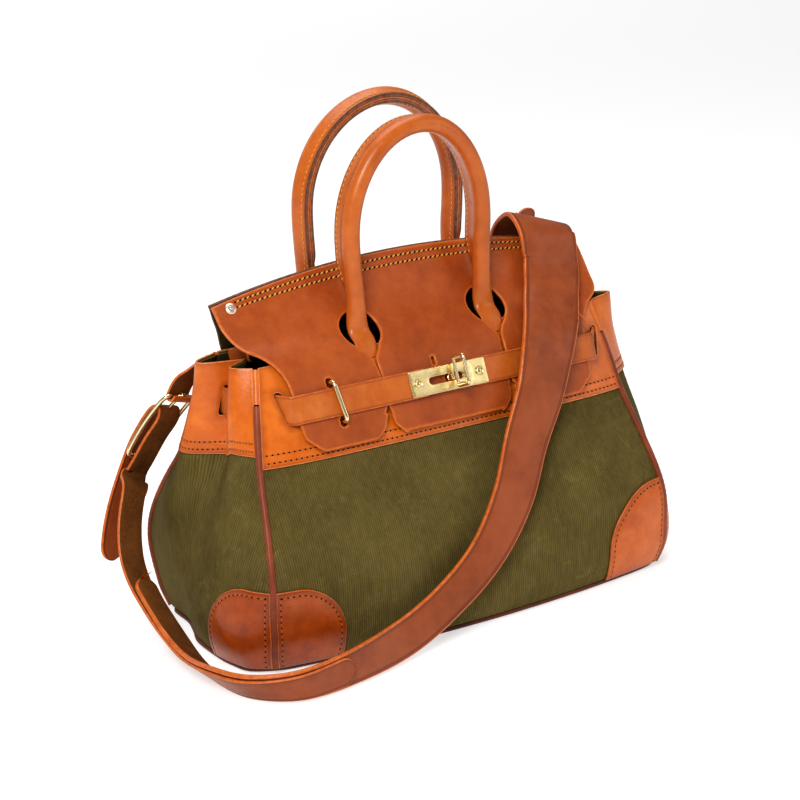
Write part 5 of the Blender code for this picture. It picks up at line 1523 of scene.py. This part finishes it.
for side, (buckle, anchor) in PLACES.items():
    at = buckle.at
    frame_ring = tube(side + "_buckle_ring", frame_path(at), BUCKLE_R, (BRASS_WIRE,), 18, closed=True,
                      flatten=0.88, hint=buckle.out)
    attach(frame_ring, ROOT)
    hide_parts(side + "_buckle_frame")
    start = [np.array(p) + buckle.out * 0.0015 for p in anchor]
    chape = ribbon(side + "_chape_leather", [(p, buckle.across, BILLET_WIDE) for p in start + hook_path(at)],
                   0.0020, (BELT_TAN, ORANGE_EDGE, FLESH), buckle.out, 0.0022, edge=0.7)
    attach(chape, ROOT)
    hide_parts(side + "_chape")

    bar = at(0, -BUCKLE_HALF, 0)
    spots = [(-0.0280, 0.0010), (-0.015, 0.0036), (0, 0.0050), (0.018, 0.0048), (0.0325, 0.0036)]
    rod = catmull([(*at(0, l, n), r) for (l, n), r in zip(spots, (0.0014, 0.0013, 0.0012, 0.0011, 0.0009))],
                  0.0025)
    rod = np.vstack([rod, [*(rod[-1, :3] + unit(rod[-1, :3] - rod[-2, :3]) * 0.0006), 0.0004]])
    prong = tube(side + "_prong_rod", rod[:, :3], rod[:, 3], (BRASS_WIRE,), 14, hint=buckle.across)
    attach(prong, ROOT)
    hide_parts(side + "_buckle_prong")
    eye = lathe(side + "_prong_eye", bar, buckle.across,
                [(0.0022, -0.0020), (0.0036, -0.0020), (0.0040, -0.0016), (0.0040, 0.0016),
                 (0.0036, 0.0020), (0.0022, 0.0020)], (BRASS_WIRE,), 24)
    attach(eye, ROOT)

    toward = np.array([-1.0, 0.0, -1.0]) if side == "left" else buckle.out
    route = billet_route(side, buckle, toward)
    ways = eased([a for _, a in route])
    billet = ribbon(side + "_billet_leather", [(c, w, BILLET_WIDE) for (c, _), w in zip(route, ways)],
                    BILLET, (STRAP_MAT, ORANGE_EDGE, FLESH),
                    toward, 0.0024, tips=(0.010, 0.0115), crease=0.0022, edge=0.7)
    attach(billet, ROOT)
    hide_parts(side + "_billet")


# Plain pieces that need no more shape -------------------------------------------------------
PLAIN = {"base_board": BOARD, "base_panel": PATCH_TAN}
for name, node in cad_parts.items():
    node.data.materials.clear()
    node.data.materials.append(PLAIN.get(name, BRASS))

# Floor, light and camera --------------------------------------------------------------------
paper = Nodes("paper")
paper.finish(colour=(0.60, 0.60, 0.60, 1), rough=0.9, specular=0.05)
paper.wire(paper.shader, **{"Emission Color": (1, 1, 1, 1), "Emission Strength": 0.50})
floor = make("backdrop", [(-9, -6, 0), (9, -6, 0), (9, 16, 0), (-9, 16, 0)], [(0, 1, 2, 3)], (paper.mat,))


def lamp(name, place, target, size, power):
    data = bpy.data.lights.new(name, "AREA")
    data.shape = "RECTANGLE"
    data.size, data.size_y = size
    data.energy = power
    obj = bpy.data.objects.new(name, data)
    bpy.context.scene.collection.objects.link(obj)
    way = Vector(target) - Vector(place)
    obj.matrix_world = Matrix.Translation(Vector(place)) @ way.to_track_quat("-Z", "Y").to_matrix().to_4x4()
    return obj


centre = (0.0, 0.0, 0.15)
lamp("key", (-1.30, -1.25, 1.45), centre, (0.7, 0.7), 29)
lamp("fill", (1.6, -1.3, 0.9), centre, (1.2, 1.2), 6)
lamp("top", (0.1, 0.4, 1.8), centre, (1.4, 1.2), 15)
lamp("far_floor", (0, 6.5, 2.6), (0, 6.5, 0), (9, 6), 175)
world = bpy.data.worlds.new("studio")
bpy.context.scene.world = world
world.use_nodes = True
world.node_tree.nodes["Background"].inputs[0].default_value = (1, 1, 1, 1)
world.node_tree.nodes["Background"].inputs[1].default_value = 0.22
bpy.context.scene.view_settings.view_transform = "Standard"
bpy.context.scene.view_settings.look = "Medium High Contrast"

camera = bpy.data.cameras.new("camera")
camera.lens = 112.5
camera.sensor_width = 36
camera.clip_end = 30
eye = bpy.data.objects.new("camera", camera)
bpy.context.scene.collection.objects.link(eye)
azimuth, elevation, roll = (math.radians(a) for a in (-34.6, 17.25, -1.0))
back = Vector((math.sin(azimuth) * math.cos(elevation), -math.cos(azimuth) * math.cos(elevation),
               math.sin(elevation)))
right = (-back).cross(Vector((0, 0, 1))).normalized()
above = right.cross(-back)
across = math.cos(roll) * right + math.sin(roll) * above
upright = -math.sin(roll) * right + math.cos(roll) * above
eye.matrix_world = (Matrix.Translation(Vector((-0.009, 0, 0.161)) + back * 1.996)
                    @ Matrix((across, upright, back)).transposed().to_4x4())
bpy.context.scene.camera = eye

bpy.context.view_layer.update()
